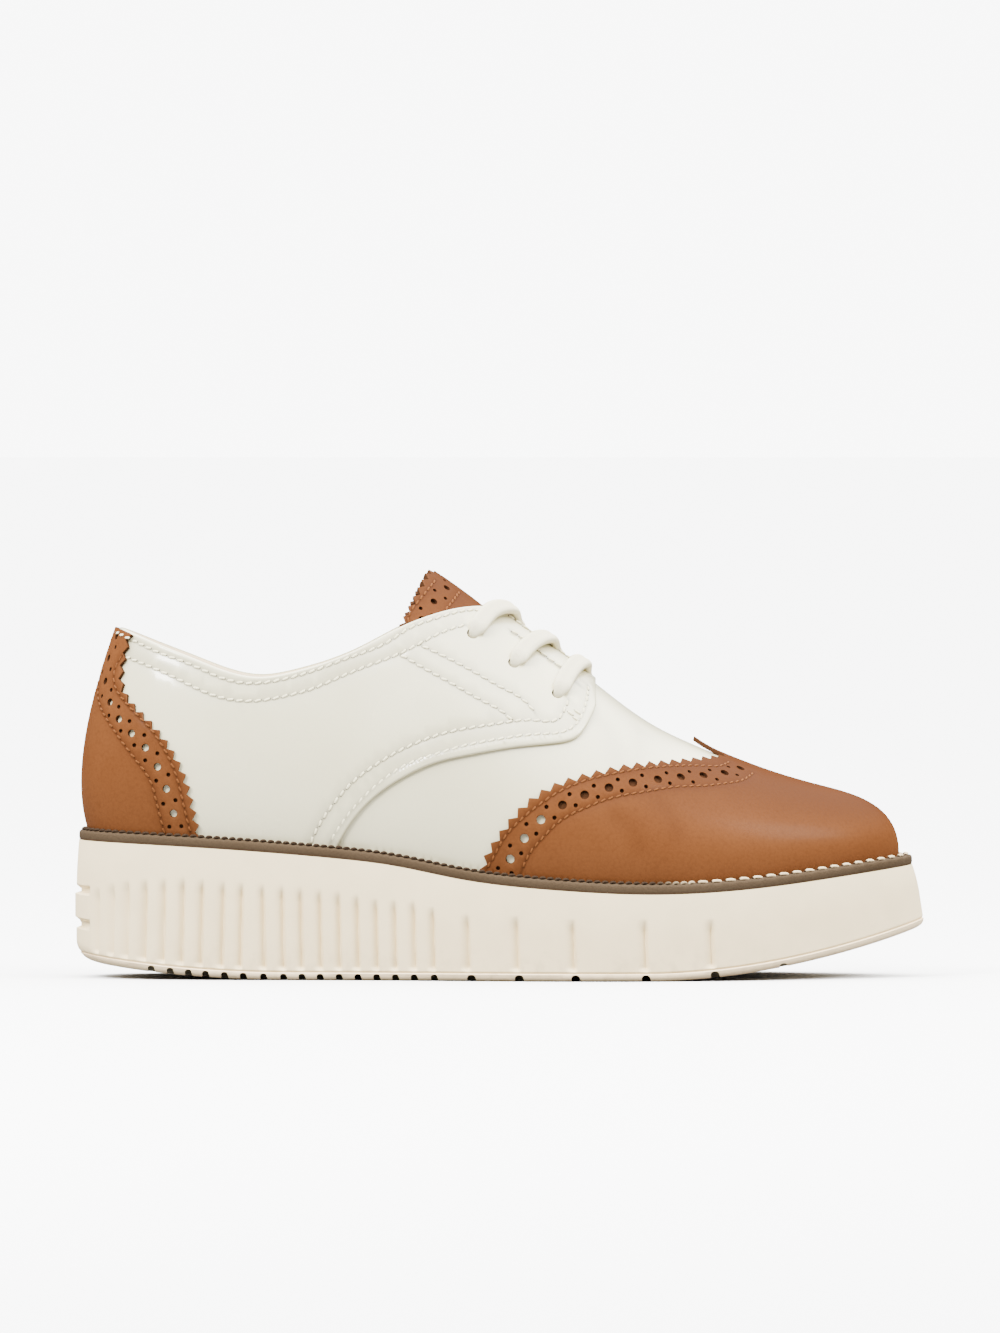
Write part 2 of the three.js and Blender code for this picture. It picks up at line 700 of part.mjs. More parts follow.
// The platform's side: how far out it stands at a share of its height, and how its lower edge is rounded.
function soleSide(turn, height) {
  const { normal } = outline(turn, 0);
  const toe = square(Math.max(0, normal.x));
  const heel = square(Math.max(0, -normal.x));
  const x = outline(turn, weltLedge).x;
  const full = weltTop(x) - weltThickness - treadBottom(x);
  const radius = edgeRound + (heelRound - edgeRound) * heel + (toeRound - edgeRound) * toe;
  const flare = (soleFlare + toeFlare * toe) * (1 - square(Math.max(0, (2 * height) / full - 1)));
  const curl = Math.max(0, 1 - height / radius);
  return weltLedge + flare - radius * (1 - Math.sqrt(1 - square(curl)));
}
function solePoint(turn, height, inset) {
  const { x, y } = outline(turn, soleSide(turn, height) - inset);
  return new THREE.Vector3(x, y, treadBottom(x) + height);
}

// Grooves across the tread, and the flutes over them, with some more round the heel.
const grooves = [];
for (let i = 0; i < grooveCount; i++) grooves.push(firstGroove + i * flutePitch);
grooves.push(...wideGrooves.map((share) => share * soleLength));

function soleRing(side) {
  const valleys = grooves.map((x) => turnWhere((turn) => outline(side * turn, weltLedge + soleFlare).x < x));
  for (let i = 1; i <= plainFlutes; i++) valleys.unshift(valleys[0] - flutePitch);
  const stations = [{ turn: 0, depth: 0 }];
  const flutes = valleys.map((turn) => [turn - fluteWidth / 2, turn, turn + fluteWidth / 2]);
  const addPlain = (from, to, least) => {
    const count = Math.max(least, Math.ceil((to - from) / (2 * flutePitch)));
    for (let i = 1; i < count; i++) stations.push({ turn: from + ((to - from) * i) / count, depth: 0 });
  };
  addPlain(0, flutes[0][0], 3);
  flutes.forEach((flute, i) => {
    if (i > 0) addPlain(flutes[i - 1][2], flute[0], 1);
    flute.forEach((turn, j) => stations.push({ turn, depth: j === 1 ? 1 : 0 }));
  });
  addPlain(flutes.at(-1)[2], halfTurn, 10);
  return stations.map(({ turn, depth }) => ({ turn: side * turn, depth }));
}
const toeStation = { turn: halfTurn, depth: 0 };
const [outerRing, innerRing] = SIDES.map(soleRing);
const platformRing = [toeStation, ...outerRing.slice(1).reverse(), ...innerRing];

function platformLevel(height, depth) {
  return platformRing.map((station) => {
    const x = outline(station.turn, weltLedge).x;
    const full = weltTop(x) - weltThickness - treadBottom(x);
    return solePoint(station.turn, height(full), station.depth * depth * fluteDepth);
  });
}
const platformFoot = outsoleThickness + gap;
const fluteEase = 2.5;
const body = loft([
  platformLevel(() => platformFoot, 0),
  platformLevel(() => platformFoot + 2 * fluteEase, 1),
  platformLevel((full) => full * fluteTop - 2 * fluteEase, 1),
  platformLevel((full) => full * fluteTop, 0),
  platformLevel((full) => (full * (1 + fluteTop)) / 2, 0),
  platformLevel((full) => full, 0),
]);

// The heel's panel, and the groove above and below it.
const panelZ = panelShare * heelRise;
const panelTurns = [-1, -0.6, -0.2, 0.2, 0.6, 1].map((share) => (share * panelWidth) / 2);
const panelOut = weltLedge + soleFlare;
const panelOutline = [
  ...panelTurns.map((turn) => outline(turn, panelOut + panelProud)),
  ...[...panelTurns].reverse().map((turn) => outline(turn, panelOut - panelGrooveDepth)),
].map(({ x, y }) => new THREE.Vector2(x, y));
const panel = topPrism(panelOutline, panelZ - panelHeight / 2, panelZ + panelHeight / 2);
function panelCut(z) {
  const geometry = new THREE.BoxGeometry(2 * (soleBack + panelGrooveDepth), panelWidth, panelGroove);
  geometry.translate(0, 0, z);
  return solid(geometry);
}
const panelCuts = SIDES.map((side) => panelCut(panelZ + (side * (panelHeight + panelGroove)) / 2));
const platform = cutAll(body.add(panel), panelCuts);

// The outsole: a plate under the platform, grooved across.
function outsoleLevel(share) {
  return turnsRound(soleColumns).map((turn) => solePoint(turn, share * outsoleThickness, 0));
}
function treadGroove(x, depth) {
  const geometry = new THREE.BoxGeometry(grooveWidth, spread, 2 * depth);
  geometry.translate(x, 0, treadBottom(x));
  return solid(geometry);
}
const outsole = cutAll(loft([0, 0.3, 0.65, 1].map(outsoleLevel)), [
  ...grooves.map((x) => treadGroove(x, grooveDepth)),
  treadGroove(frontGroove * soleLength, grooveDepth / 2),
]);

const FINISHES = {
  cream: { color: 0xe8e1d5, roughness: 0.8 },
  tread: { color: 0xece7dc, roughness: 0.85 },
  brown: { color: 0x846e56, roughness: 0.6 },
  white: { color: 0xe6e4da, roughness: 0.35 },
  tan: { color: 0xbe7848, roughness: 0.45 },
  lining: { color: 0xd9c4a3, roughness: 0.7 },
  lace: { color: 0xf0ede4, roughness: 0.9 },
};

function mesh(name, body, finish) {
  const { vertProperties, triVerts } = body.getMesh();
  const geometry = new THREE.BufferGeometry();
  geometry.setAttribute("position", new THREE.BufferAttribute(vertProperties, 3));
  geometry.setIndex(new THREE.BufferAttribute(triVerts, 1));
  const material = new THREE.MeshStandardMaterial({ ...FINISHES[finish], metalness: 0, flatShading: true });
  const piece = new THREE.Mesh(geometry, material);
  piece.name = name;
  return piece;
}

const shoe = new THREE.Group();
shoe.add(mesh("outsole", outsole, "tread"));
shoe.add(mesh("platform", platform, "cream"));
shoe.add(mesh("welt", welt, "brown"));
shoe.add(mesh("insole", insole, "lining"));
shoe.add(mesh("upper", upper, "white"));
quarters.forEach((quarter) => {
  const outer = quarter.boundingBox().min[1] < -halfBall / 2;
  shoe.add(mesh(outer ? "quarter_outer" : "quarter_inner", quarter, "white"));
});
shoe.add(mesh("heel_counter", heelCounter, "tan"));
shoe.add(mesh("wing_tip", wing, "tan"));
shoe.add(mesh("tongue", tongue, "tan"));
laces.forEach(({ name, body: crossing }) => shoe.add(mesh(name, crossing, "lace")));

// The origin is the middle of the whole shoe's underside.
const box = new THREE.Box3().setFromObject(shoe);
const middleOfBox = box.getCenter(new THREE.Vector3());
shoe.position.set(-middleOfBox.x, -middleOfBox.y, -box.min.z);

const group = new THREE.Group();
group.add(shoe);

export default group;
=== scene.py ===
"""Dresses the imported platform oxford: fine leather shells, stitching, brogue holes, laces and sole.

All shapes are worked out in the shoe's own millimetres, with X from heel to toe, Y to the inner side
of the foot and Z up, and go into the row frame in metres at the end.
"""

from __future__ import annotations

import logging
import math
from dataclasses import dataclass, field
from enum import Enum
from typing import Callable, Sequence

import bmesh
import bpy
import numpy as np
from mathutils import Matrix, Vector
from mathutils.geometry import delaunay_2d_cdt
from mathutils.kdtree import KDTree

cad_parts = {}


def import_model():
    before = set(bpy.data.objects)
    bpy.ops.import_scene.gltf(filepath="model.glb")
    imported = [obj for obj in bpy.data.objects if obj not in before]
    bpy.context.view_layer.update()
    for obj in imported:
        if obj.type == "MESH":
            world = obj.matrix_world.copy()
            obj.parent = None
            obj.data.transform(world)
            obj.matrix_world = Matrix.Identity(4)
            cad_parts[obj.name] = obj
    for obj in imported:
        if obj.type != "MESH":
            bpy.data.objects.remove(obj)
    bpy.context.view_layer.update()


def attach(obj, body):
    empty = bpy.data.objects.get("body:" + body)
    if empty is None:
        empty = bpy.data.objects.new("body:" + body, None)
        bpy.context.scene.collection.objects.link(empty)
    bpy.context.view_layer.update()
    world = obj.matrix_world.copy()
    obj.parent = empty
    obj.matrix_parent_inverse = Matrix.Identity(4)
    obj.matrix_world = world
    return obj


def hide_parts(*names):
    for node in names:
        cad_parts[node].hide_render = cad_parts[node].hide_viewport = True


LOG = logging.getLogger("oxford")
MM = 0.001

# From the shoe's own millimetres to the row frame: the middle of the underside is at the origin.
ROW_SHIFT = np.array([-139.038, 0.381, 0.0])

# The plane in which a skin is cut into triangles has the wall's height stretched to this many millimetres.
PLANE_HEIGHT = 90.0

# The X from which punched holes end in a floor of the dark cut-edge material, which paints shade in the hole:
# all of them, or none.
ALL_DARK = -math.inf
NONE_DARK = math.inf

Array = np.ndarray
Rows = Sequence[Sequence[float]]


class Side(Enum):
    """The two sides of the shoe, by the sign of Y."""

    OUTER = -1
    INNER = 1


class Chart(Enum):
    """How a place on the skin is written as two numbers."""

    RIDGE = "distance round from the heel, and share of the wall down from the ridge, signed by side"
    HEEL = "distance round from the heel, signed by side, and share of the wall up from the welt"


class Surface(Enum):
    """Which of a leather piece's two material places a face belongs to."""

    GRAIN = 0
    CUT = 1


class Spline:
    """A natural cubic spline through values at given places."""

    def __init__(self, at: Sequence[float], values: Sequence[float]) -> None:
        """Solves the spline's bends.

        Args:
            at: rising places.
            values: the value at each place.
        """
        self.at = np.asarray(at, float)
        self.values = np.asarray(values, float)
        count = len(self.at)
        step = np.diff(self.at)
        slope = np.diff(self.values) / step
        matrix = np.eye(count)
        right = np.zeros(count)
        for i in range(1, count - 1):
            matrix[i, i - 1 : i + 2] = step[i - 1] / 6, (step[i - 1] + step[i]) / 3, step[i] / 6
            right[i] = slope[i] - slope[i - 1]
        self.bend = np.linalg.solve(matrix, right)

    def __call__(self, place: Array | float) -> Array:
        """Evaluates the spline, held at its ends.

        Args:
            place: where.

        Returns:
            The values there.
        """
        x = np.clip(place, self.at[0], self.at[-1])
        k = np.clip(np.searchsorted(self.at, x) - 1, 0, len(self.at) - 2)
        step = self.at[k + 1] - self.at[k]
        a = (self.at[k + 1] - x) / step
        b = (x - self.at[k]) / step
        curve = ((a**3 - a) * self.bend[k] + (b**3 - b) * self.bend[k + 1]) * step * step
        return a * self.values[k] + b * self.values[k + 1] + curve / 6


def unit(vectors: Array) -> Array:
    """Vectors scaled to a length of one."""
    return vectors / np.maximum(np.linalg.norm(vectors, axis=-1, keepdims=True), 1e-12)


def ease(share: Array | float) -> Array:
    """A smooth step from 0 to 1."""
    held = np.clip(share, 0.0, 1.0)
    return held * held * (3 - 2 * held)


def lengths_along(points: Array) -> Array:
    """Distance from a polyline's start at each of its points."""
    return np.concatenate([[0.0], np.cumsum(np.linalg.norm(np.diff(points, axis=0), axis=1))])


def curve_through(rows: Rows, step: float) -> Array:
    """A smooth curve through points.

    Args:
        rows: the points.
        step: distance between the points returned.

    Returns:
        Evenly spaced points on the curve.
    """
    points = np.asarray(rows, float)
    at = lengths_along(points)
    splines = [Spline(at, points[:, k]) for k in range(points.shape[1])]
    count = max(2, math.ceil(at[-1] / step) + 1)
    return np.stack([spline(np.linspace(0, at[-1], count)) for spline in splines], axis=1)


# One row for each section of the last, from the back of the heel to the point of the toe:
# foot and top (shares of the length), outer, inner and cone (shares of half the ball's width),
# lean (degrees), rise and crown (shares of the height) and drop (degrees).
SECTIONS: Rows = (
    (0.0, 0.083, 0.0, 0.0, 0.0, 19, 0.26, 0.34, 68),
    (0.009, 0.089, 0.25, 0.25, 0.145, 18, 0.26, 0.34, 70),
    (0.037, 0.105, 0.456, 0.456, 0.265, 16, 0.27, 0.34, 74),
    (0.092, 0.138, 0.602, 0.6, 0.35, 14, 0.28, 0.34, 78),
    (0.184, 0.188, 0.665, 0.65, 0.385, 14, 0.29, 0.34, 80),
    (0.28, 0.242, 0.69, 0.628, 0.375, 13, 0.3, 0.33, 80),
    (0.376, 0.3, 0.767, 0.63, 0.3, 12, 0.32, 0.3, 70),
    (0.464, 0.372, 0.892, 0.702, 0.12, 12, 0.34, 0.24, 32),
    (0.548, 0.464, 1.006, 0.815, 0.0, 12, 0.35, 0.19, 0),
    (0.625, 0.548, 1.068, 0.903, 0.0, 12, 0.37, 0.22, 0),
    (0.702, 0.633, 1.06, 0.928, 0.0, 12, 0.39, 0.28, 0),
    (0.778, 0.709, 0.975, 0.871, 0.0, 12, 0.38, 0.31, 0),
    (0.855, 0.778, 0.799, 0.719, 0.0, 11, 0.38, 0.34, 0),
    (0.924, 0.836, 0.564, 0.516, 0.0, 9, 0.39, 0.36, 0),
    (0.974, 0.878, 0.31, 0.307, 0.0, 5, 0.43, 0.36, 0),
    (1.0, 0.893, 0.0, 0.0, 0.0, 2, 0.47, 0.36, 0),
)

# The ridge over the instep: share of the length, and height over the welt as a share of the instep's.
RIDGE: Rows = (
    (0.077, 0.998), (0.203, 1.026), (0.295, 1.035), (0.368, 1.014), (0.426, 0.968), (0.479, 0.895),
    (0.533, 0.8), (0.587, 0.709), (0.64, 0.608), (0.694, 0.511), (0.747, 0.44), (0.801, 0.372),
    (0.855, 0.307), (0.908, 0.25),
)

# The welt's upper face: share of the sole's length, and how much of the heel's and the toe's rise it has.
WELT: Rows = (
    (0.0, 1.0, 0.0), (0.14, 0.89, 0.0), (0.3, 0.69, 0.0), (0.38, 0.53, 0.0), (0.45, 0.3, 0.0),
    (0.56, 0.09, 0.0), (0.68, 0.0, 0.0), (0.8, 0.0, 0.19), (0.92, 0.0, 0.66), (1.0, 0.0, 1.0),
)

# Lines of the pattern, seen from the side: share of the last's length, and of the instep's height.
TOPLINE: Rows = (
    (-0.04, 0.7), (0.024, 0.663), (0.075, 0.614), (0.123, 0.571), (0.159, 0.54), (0.207, 0.525),
    (0.243, 0.547), (0.293, 0.596), (0.331, 0.647), (0.377, 0.726), (0.425, 0.799), (0.466, 0.84),
    (0.502, 0.85),
)
QUARTER_EDGE: Rows = (
    (0.621, 0.646), (0.622, 0.583), (0.612, 0.513), (0.597, 0.463), (0.578, 0.446), (0.532, 0.426),
    (0.497, 0.404), (0.461, 0.374), (0.426, 0.335), (0.391, 0.277), (0.356, 0.205), (0.33, 0.135),
    (0.31, 0.059), (0.29, -0.05),
)
COUNTER_EDGE: Rows = (
    (0.056, 0.72), (0.05, 0.665), (0.043, 0.61), (0.038, 0.55), (0.036, 0.49), (0.042, 0.445),
    (0.058, 0.399), (0.079, 0.345), (0.098, 0.28), (0.113, 0.206), (0.124, 0.11), (0.132, 0.015),
    (0.138, -0.05),
)
WING_EDGE: Rows = (
    (0.484, -0.05), (0.49, 0.046), (0.51, 0.14), (0.536, 0.228), (0.57, 0.298), (0.625, 0.354),
    (0.663, 0.378), (0.7, 0.387), (0.738, 0.39), (0.76, 0.391),
)
TONGUE_TOP: Rows = ((0.43, 1.02), (0.4, 0.866), (0.372, 0.7))
TONGUE_SIDE: Rows = ((0.46, 0.6), (0.56, 0.46), (0.66, 0.42))
EYELETS: Rows = ((0.469, 0.758, 0.533), (0.52, 0.679, 0.58), (0.575, 0.591, 0.616))


@dataclass
class Last:
    """The form that the shoe is made on: every piece of the upper lies on its skin."""

    length: float = 261.0
    half_ball: float = 41.5
    instep: float = 100.0
    toe_swing: float = 5.3
    swing_start: float = 0.35
    heel_rise: float = 48.4
    ball_rise: float = 31.6
    toe_rise: float = 40.6
    gap: float = 0.3
    ledge: float = 5.8
    flare: float = 0.9
    toe_flare: float = 3.1
    panel_proud: float = 0.4
    heel_lift: float = 6.0
    toe_spring: float = 16.6
    heel_roll: float = 70.0
    toe_roll: float = 90.0
    rows_over: int = 5
    coarse: dict[tuple, tuple[Array, Array, Array]] = field(default_factory=dict)

    def __post_init__(self) -> None:
        """Works out the splines round the last."""
        self.heel_x = self.panel_proud + self.flare + self.ledge
        self.sole_length = self.heel_x + self.length + self.ledge + self.flare + self.toe_flare
        self.sole_front = self.sole_length - self.panel_proud
        welt = np.asarray(WELT)
        ridge = np.asarray(RIDGE)
        self.heel_share = Spline(welt[:, 0], welt[:, 1])
        self.toe_share = Spline(welt[:, 0], welt[:, 2])
        self.ridge_rise = Spline(ridge[:, 0], ridge[:, 1])
        table = np.asarray(SECTIONS, float)
        foot_x = self.along_x(table[:, 0])
        foot_y = {}
        for s, column in ((Side.OUTER, 2), (Side.INNER, 3)):
            foot_y[s] = self.middle(foot_x) + s.value * table[:, column] * self.half_ball
        runs = [np.hypot(np.diff(foot_x), np.diff(foot_y[s])) for s in Side]
        places = np.concatenate([[0.0], np.cumsum(sum(runs) / 2)])
        self.half_turn = float(places[-1])
        last_row = len(table) - 1
        turns, picked, ys = [], [], []
        for i in range(-last_row - self.rows_over, last_row + self.rows_over + 1):
            over = abs(i) > last_row
            index = 2 * last_row - abs(i) if over else abs(i)
            turn = 2 * self.half_turn - places[index] if over else places[index]
            inner = i < 0 if over else i > 0
            turns.append(math.copysign(turn, i) if i else 0.0)
            picked.append(table[index])
            ys.append(foot_y[Side.INNER if inner else Side.OUTER][index])
        rows = np.asarray(picked)
        self.loop = {
            "x": Spline(turns, self.along_x(rows[:, 0])),
            "y": Spline(turns, ys),
            "top": Spline(turns, self.along_x(rows[:, 1])),
            "cone": Spline(turns, rows[:, 4] * self.half_ball),
            "lean": Spline(turns, np.radians(rows[:, 5])),
            "rise": Spline(turns, rows[:, 6]),
            "crown": Spline(turns, rows[:, 7]),
            "drop": Spline(turns, np.radians(rows[:, 8])),
        }

    def along_x(self, share: Array | float) -> Array:
        """X at a share of the last's length."""
        return self.heel_x + np.asarray(share) * self.length

    def welt_top(self, x: Array | float) -> Array:
        """Height of the welt's upper face.

        Args:
            x: X of the places.

        Returns:
            The heights.
        """
        share = np.asarray(x) / self.sole_length
        rise = (self.heel_rise - self.ball_rise) * self.heel_share(share)
        return self.ball_rise + rise + (self.toe_rise - self.ball_rise) * self.toe_share(share)

    def tread_bottom(self, x: Array | float) -> Array:
        """Height of the tread's underside, which rolls up at both ends.

        Args:
            x: X of the places.

        Returns:
            The heights.
        """
        back = np.maximum(0, (self.heel_roll - x) / self.heel_roll)
        front = np.maximum(0, (x - (self.sole_front - self.toe_roll)) / self.toe_roll)
        return self.heel_lift * back**1.9 + self.toe_spring * front**1.85

    def ridge_z(self, x: Array | float) -> Array:
        """Height of the ridge over the instep."""
        return self.welt_top(x) + self.instep * self.ridge_rise((np.asarray(x) - self.heel_x) / self.length)

    def middle(self, x: Array | float) -> Array:
        """Y of the middle line, which swings to the inner side towards the toe."""
        start = self.along_x(self.swing_start)
        return self.toe_swing * ease((np.asarray(x) - start) / (self.along_x(1.0) - start))

    def outline(self, turn: Array, out: Array | float = 0.0) -> tuple[Array, Array]:
        """The last's outline at the welt.

        Args:
            turn: distance round from the heel's back, positive on the inner side.
            out: how far the outline is moved out.

        Returns:
            The points, and their outward directions, both in X and Y.
        """
        step = 0.5
        turn = np.asarray(turn, float)
        dx = self.loop["x"](turn + step) - self.loop["x"](turn - step)
        dy = self.loop["y"](turn + step) - self.loop["y"](turn - step)
        normal = unit(np.stack([-dy, dx], -1))
        point = np.stack([self.loop["x"](turn), self.loop["y"](turn)], -1)
        return point + normal * np.asarray(out, float)[..., None], normal

    def skin(self, turn: Array, up: Array) -> Array:
        """The skin of the last.

        Args:
            turn: distance round from the heel's back, positive on the inner side.
            up: share of the wall, from the welt to the ridge.

        Returns:
            The points.
        """
        turn = np.asarray(turn, float)
        up = np.asarray(up, float)[..., None]
        edge, normal = self.outline(turn)
        foot = np.stack([edge[..., 0], edge[..., 1], self.welt_top(edge[..., 0]) + self.gap], -1)
        top_x = self.loop["top"](turn)
        cone = np.maximum(0, self.loop["cone"](turn))
        top = np.stack([top_x, self.middle(top_x) + np.sign(turn) * cone, self.ridge_z(top_x)], -1)
        reach = np.linalg.norm(foot - top, axis=-1)
        lean = self.loop["lean"](turn)
        low = np.stack([normal[..., 0] * np.sin(lean), normal[..., 1] * np.sin(lean), np.cos(lean)], -1)
        low = foot + low * (reach * self.loop["rise"](turn))[..., None]
        slope = self.ridge_z(top_x + 0.5) - self.ridge_z(top_x - 0.5)
        away = unit((foot - top)[..., :2])
        drop = np.maximum(0, self.loop["drop"](turn))
        high = unit(np.stack([away[..., 0], away[..., 1], slope * away[..., 0]], -1))
        high = high * np.cos(drop)[..., None]
        high[..., 2] -= np.sin(drop)
        high = top + high * (reach * self.loop["crown"](turn))[..., None]
        down = 1 - up
        return foot * down**3 + 3 * low * up * down**2 + 3 * high * up**2 * down + top * up**3

    def skin_normal(self, turn: Array, up: Array) -> Array:
        """The skin's outward direction, with no sideways part on the closed ridge.

        Args:
            turn: distance round from the heel.
            up: share of the wall, from the welt to the ridge.

        Returns:
            The directions.
        """
        turn = np.asarray(turn, float)
        up = np.asarray(up, float)
        along = self.skin(turn + 0.3, up) - self.skin(turn - 0.3, up)
        rising = self.skin(turn, np.minimum(1, up + 0.01)) - self.skin(turn, np.maximum(0, up - 0.01))
        normal = unit(np.cross(rising, along))
        x = self.loop["top"](turn)
        fall = self.ridge_z(x - 0.5) - self.ridge_z(x + 0.5)
        ridge = unit(np.stack([fall, np.zeros_like(fall), np.ones_like(fall)], -1))
        closed = (up > 0.997) & (self.loop["cone"](turn) < 0.6)
        return np.where(closed[..., None], ridge, normal)

    def unfold(self, chart: Chart, q: Array) -> tuple[Array, Array]:
        """Turn and up at places of a chart.

        Args:
            chart: the chart.
            q: the places.

        Returns:
            Both, for each place.
        """
        if chart is Chart.HEEL:
            return q[:, 0], q[:, 1]
        side = np.where(q[:, 1] < 0, -1.0, 1.0)
        return side * q[:, 0], 1 - np.abs(q[:, 1])

    def fold(self, chart: Chart, turn: Array, up: Array) -> Array:
        """Places of a chart at given turns and ups.

        Args:
            chart: the chart.
            turn: distance round from the heel.
            up: share of the wall, from the welt to the ridge.

        Returns:
            The places.
        """
        if chart is Chart.HEEL:
            return np.stack([turn, up], 1)
        return np.stack([np.abs(turn), np.sign(turn) * (1 - up)], 1)

    def plane(self, chart: Chart, q: Array) -> Array:
        """Places of a chart in the plane in which they are cut into triangles, seen from outside the shoe."""
        first = -q[:, 0] if chart is Chart.HEEL else q[:, 0]
        return np.stack([first, q[:, 1] * PLANE_HEIGHT], 1)

    def unplane(self, chart: Chart, points: Array) -> Array:
        """Places of a chart from points of that plane."""
        first = -points[:, 0] if chart is Chart.HEEL else points[:, 0]
        return np.stack([first, points[:, 1] / PLANE_HEIGHT], 1)

    def normals(self, chart: Chart, q: Array) -> Array:
        """Outward directions at places of a chart."""
        return self.skin_normal(*self.unfold(chart, q))

    def points(self, chart: Chart, q: Array, out: Array | float = 0.0) -> Array:
        """Points of the skin at places of a chart.

        Args:
            chart: the chart.
            q: the places.
            out: distance out from the skin.

        Returns:
            The points in space.
        """
        turn, up = self.unfold(chart, q)
        points = self.skin(turn, up)
        if chart is Chart.RIDGE:
            on_ridge = np.abs(q[:, 1]) < 1e-9
            points[on_ridge, 1] = self.middle(points[on_ridge, 0])
        return points + self.skin_normal(turn, up) * np.broadcast_to(out, len(q))[:, None]

    def move(self, chart: Chart, q: Array, by: Array) -> Array:
        """Moves places on the skin by small vectors in space.

        Args:
            chart: the chart.
            q: the places.
            by: a vector for each.

        Returns:
            The new places.
        """
        first = np.array([0.2, 0.0])
        second = np.array([0.0, 0.002])
        a = (self.points(chart, q + first) - self.points(chart, q - first)) / (2 * first[0])
        b = (self.points(chart, q + second) - self.points(chart, q - second)) / (2 * second[1])
        aa, ab, bb = (a * a).sum(1), (a * b).sum(1), (b * b).sum(1)
        ra, rb = (a * by).sum(1), (b * by).sum(1)
        area = np.maximum(aa * bb - ab * ab, 1e-9)
        return q + np.stack([(ra * bb - rb * ab) / area, (rb * aa - ra * ab) / area], 1)

    def locate(
        self, chart: Chart, side: Side, flat: Array, axes: tuple[int, int] = (0, 2), out: float = 0.0
    ) -> Array:
        """Finds the places on the skin that have two given coordinates.

        Args:
            chart: the chart for the places.
            side: the side of the shoe.
            flat: the two coordinates of each place.
            axes: which coordinates they are.
            out: distance out from the skin.

        Returns:
            The places.
        """

        def seen(turn: Array, up: Array) -> Array:
            """The two coordinates at turns and ups."""
            points = self.skin(turn, up)
            return (points + self.skin_normal(turn, up) * out if out else points)[..., axes]

        key = side, axes, out
        if key not in self.coarse:
            turns = np.linspace(0.5, self.half_turn - 0.5, 150)
            turns, ups = np.meshgrid(turns, np.linspace(0.01, 0.995, 60))
            turns, ups = side.value * turns.ravel(), ups.ravel()
            self.coarse[key] = turns, ups, seen(turns, ups)
        turns, ups, grid = self.coarse[key]
        near = ((grid[None] - flat[:, None]) ** 2).sum(2).argmin(1)
        turn, up = turns[near], ups[near]
        here = seen(turn, up)
        for _ in range(12):
            miss = here - flat
            if np.abs(miss).max() < 1e-4:
                break
            by_turn = (seen(turn + 0.1, up) - here) / 0.1
            by_up = (seen(turn, up - 0.001) - here) / -0.001
            area = by_turn[:, 0] * by_up[:, 1] - by_turn[:, 1] * by_up[:, 0]
            area = np.where(np.abs(area) < 1e-6, 1e-6, area)
            step_turn = (miss[:, 0] * by_up[:, 1] - miss[:, 1] * by_up[:, 0]) / area
            step_up = (by_turn[:, 0] * miss[:, 1] - by_turn[:, 1] * miss[:, 0]) / area
            new_turn = turn - np.clip(step_turn, -4, 4)
            new_turn = side.value * np.clip(side.value * new_turn, 0.0, self.half_turn)
            new_up = np.clip(up - np.clip(step_up, -0.06, 0.06), 0.0, 1.0)
            there = seen(new_turn, new_up)
            better = ((there - flat) ** 2).sum(1) < (miss**2).sum(1)
            if not better.any():
                break
            turn = np.where(better, new_turn, turn)
            up = np.where(better, new_up, up)
            here = np.where(better[:, None], there, here)
        return self.fold(chart, turn, up)

    def side_points(self, rows: Rows) -> Array:
        """X and Z of a pattern table's rows.

        Args:
            rows: the table.

        Returns:
            The points.
        """
        table = np.asarray(rows, float)
        x = self.along_x(table[:, 0])
        return np.stack([x, self.welt_top(x) + table[:, 1] * self.instep], 1)

    def topline_up(self, turns: Array) -> Array:
        """How far up the wall the topline lies.

        Args:
            turns: distances round from the heel.

        Returns:
            The share of the wall at each.
        """
        line = curve_through(self.side_points(TOPLINE), 1.0)
        low, high = np.full(len(turns), 0.2), np.ones(len(turns))
        for _ in range(30):
            mid = (low + high) / 2
            point = self.skin(turns, mid)
            above = point[:, 2] > np.interp(point[:, 0], line[:, 0], line[:, 1])
            high = np.where(above, mid, high)
            low = np.where(above, low, mid)
        return high


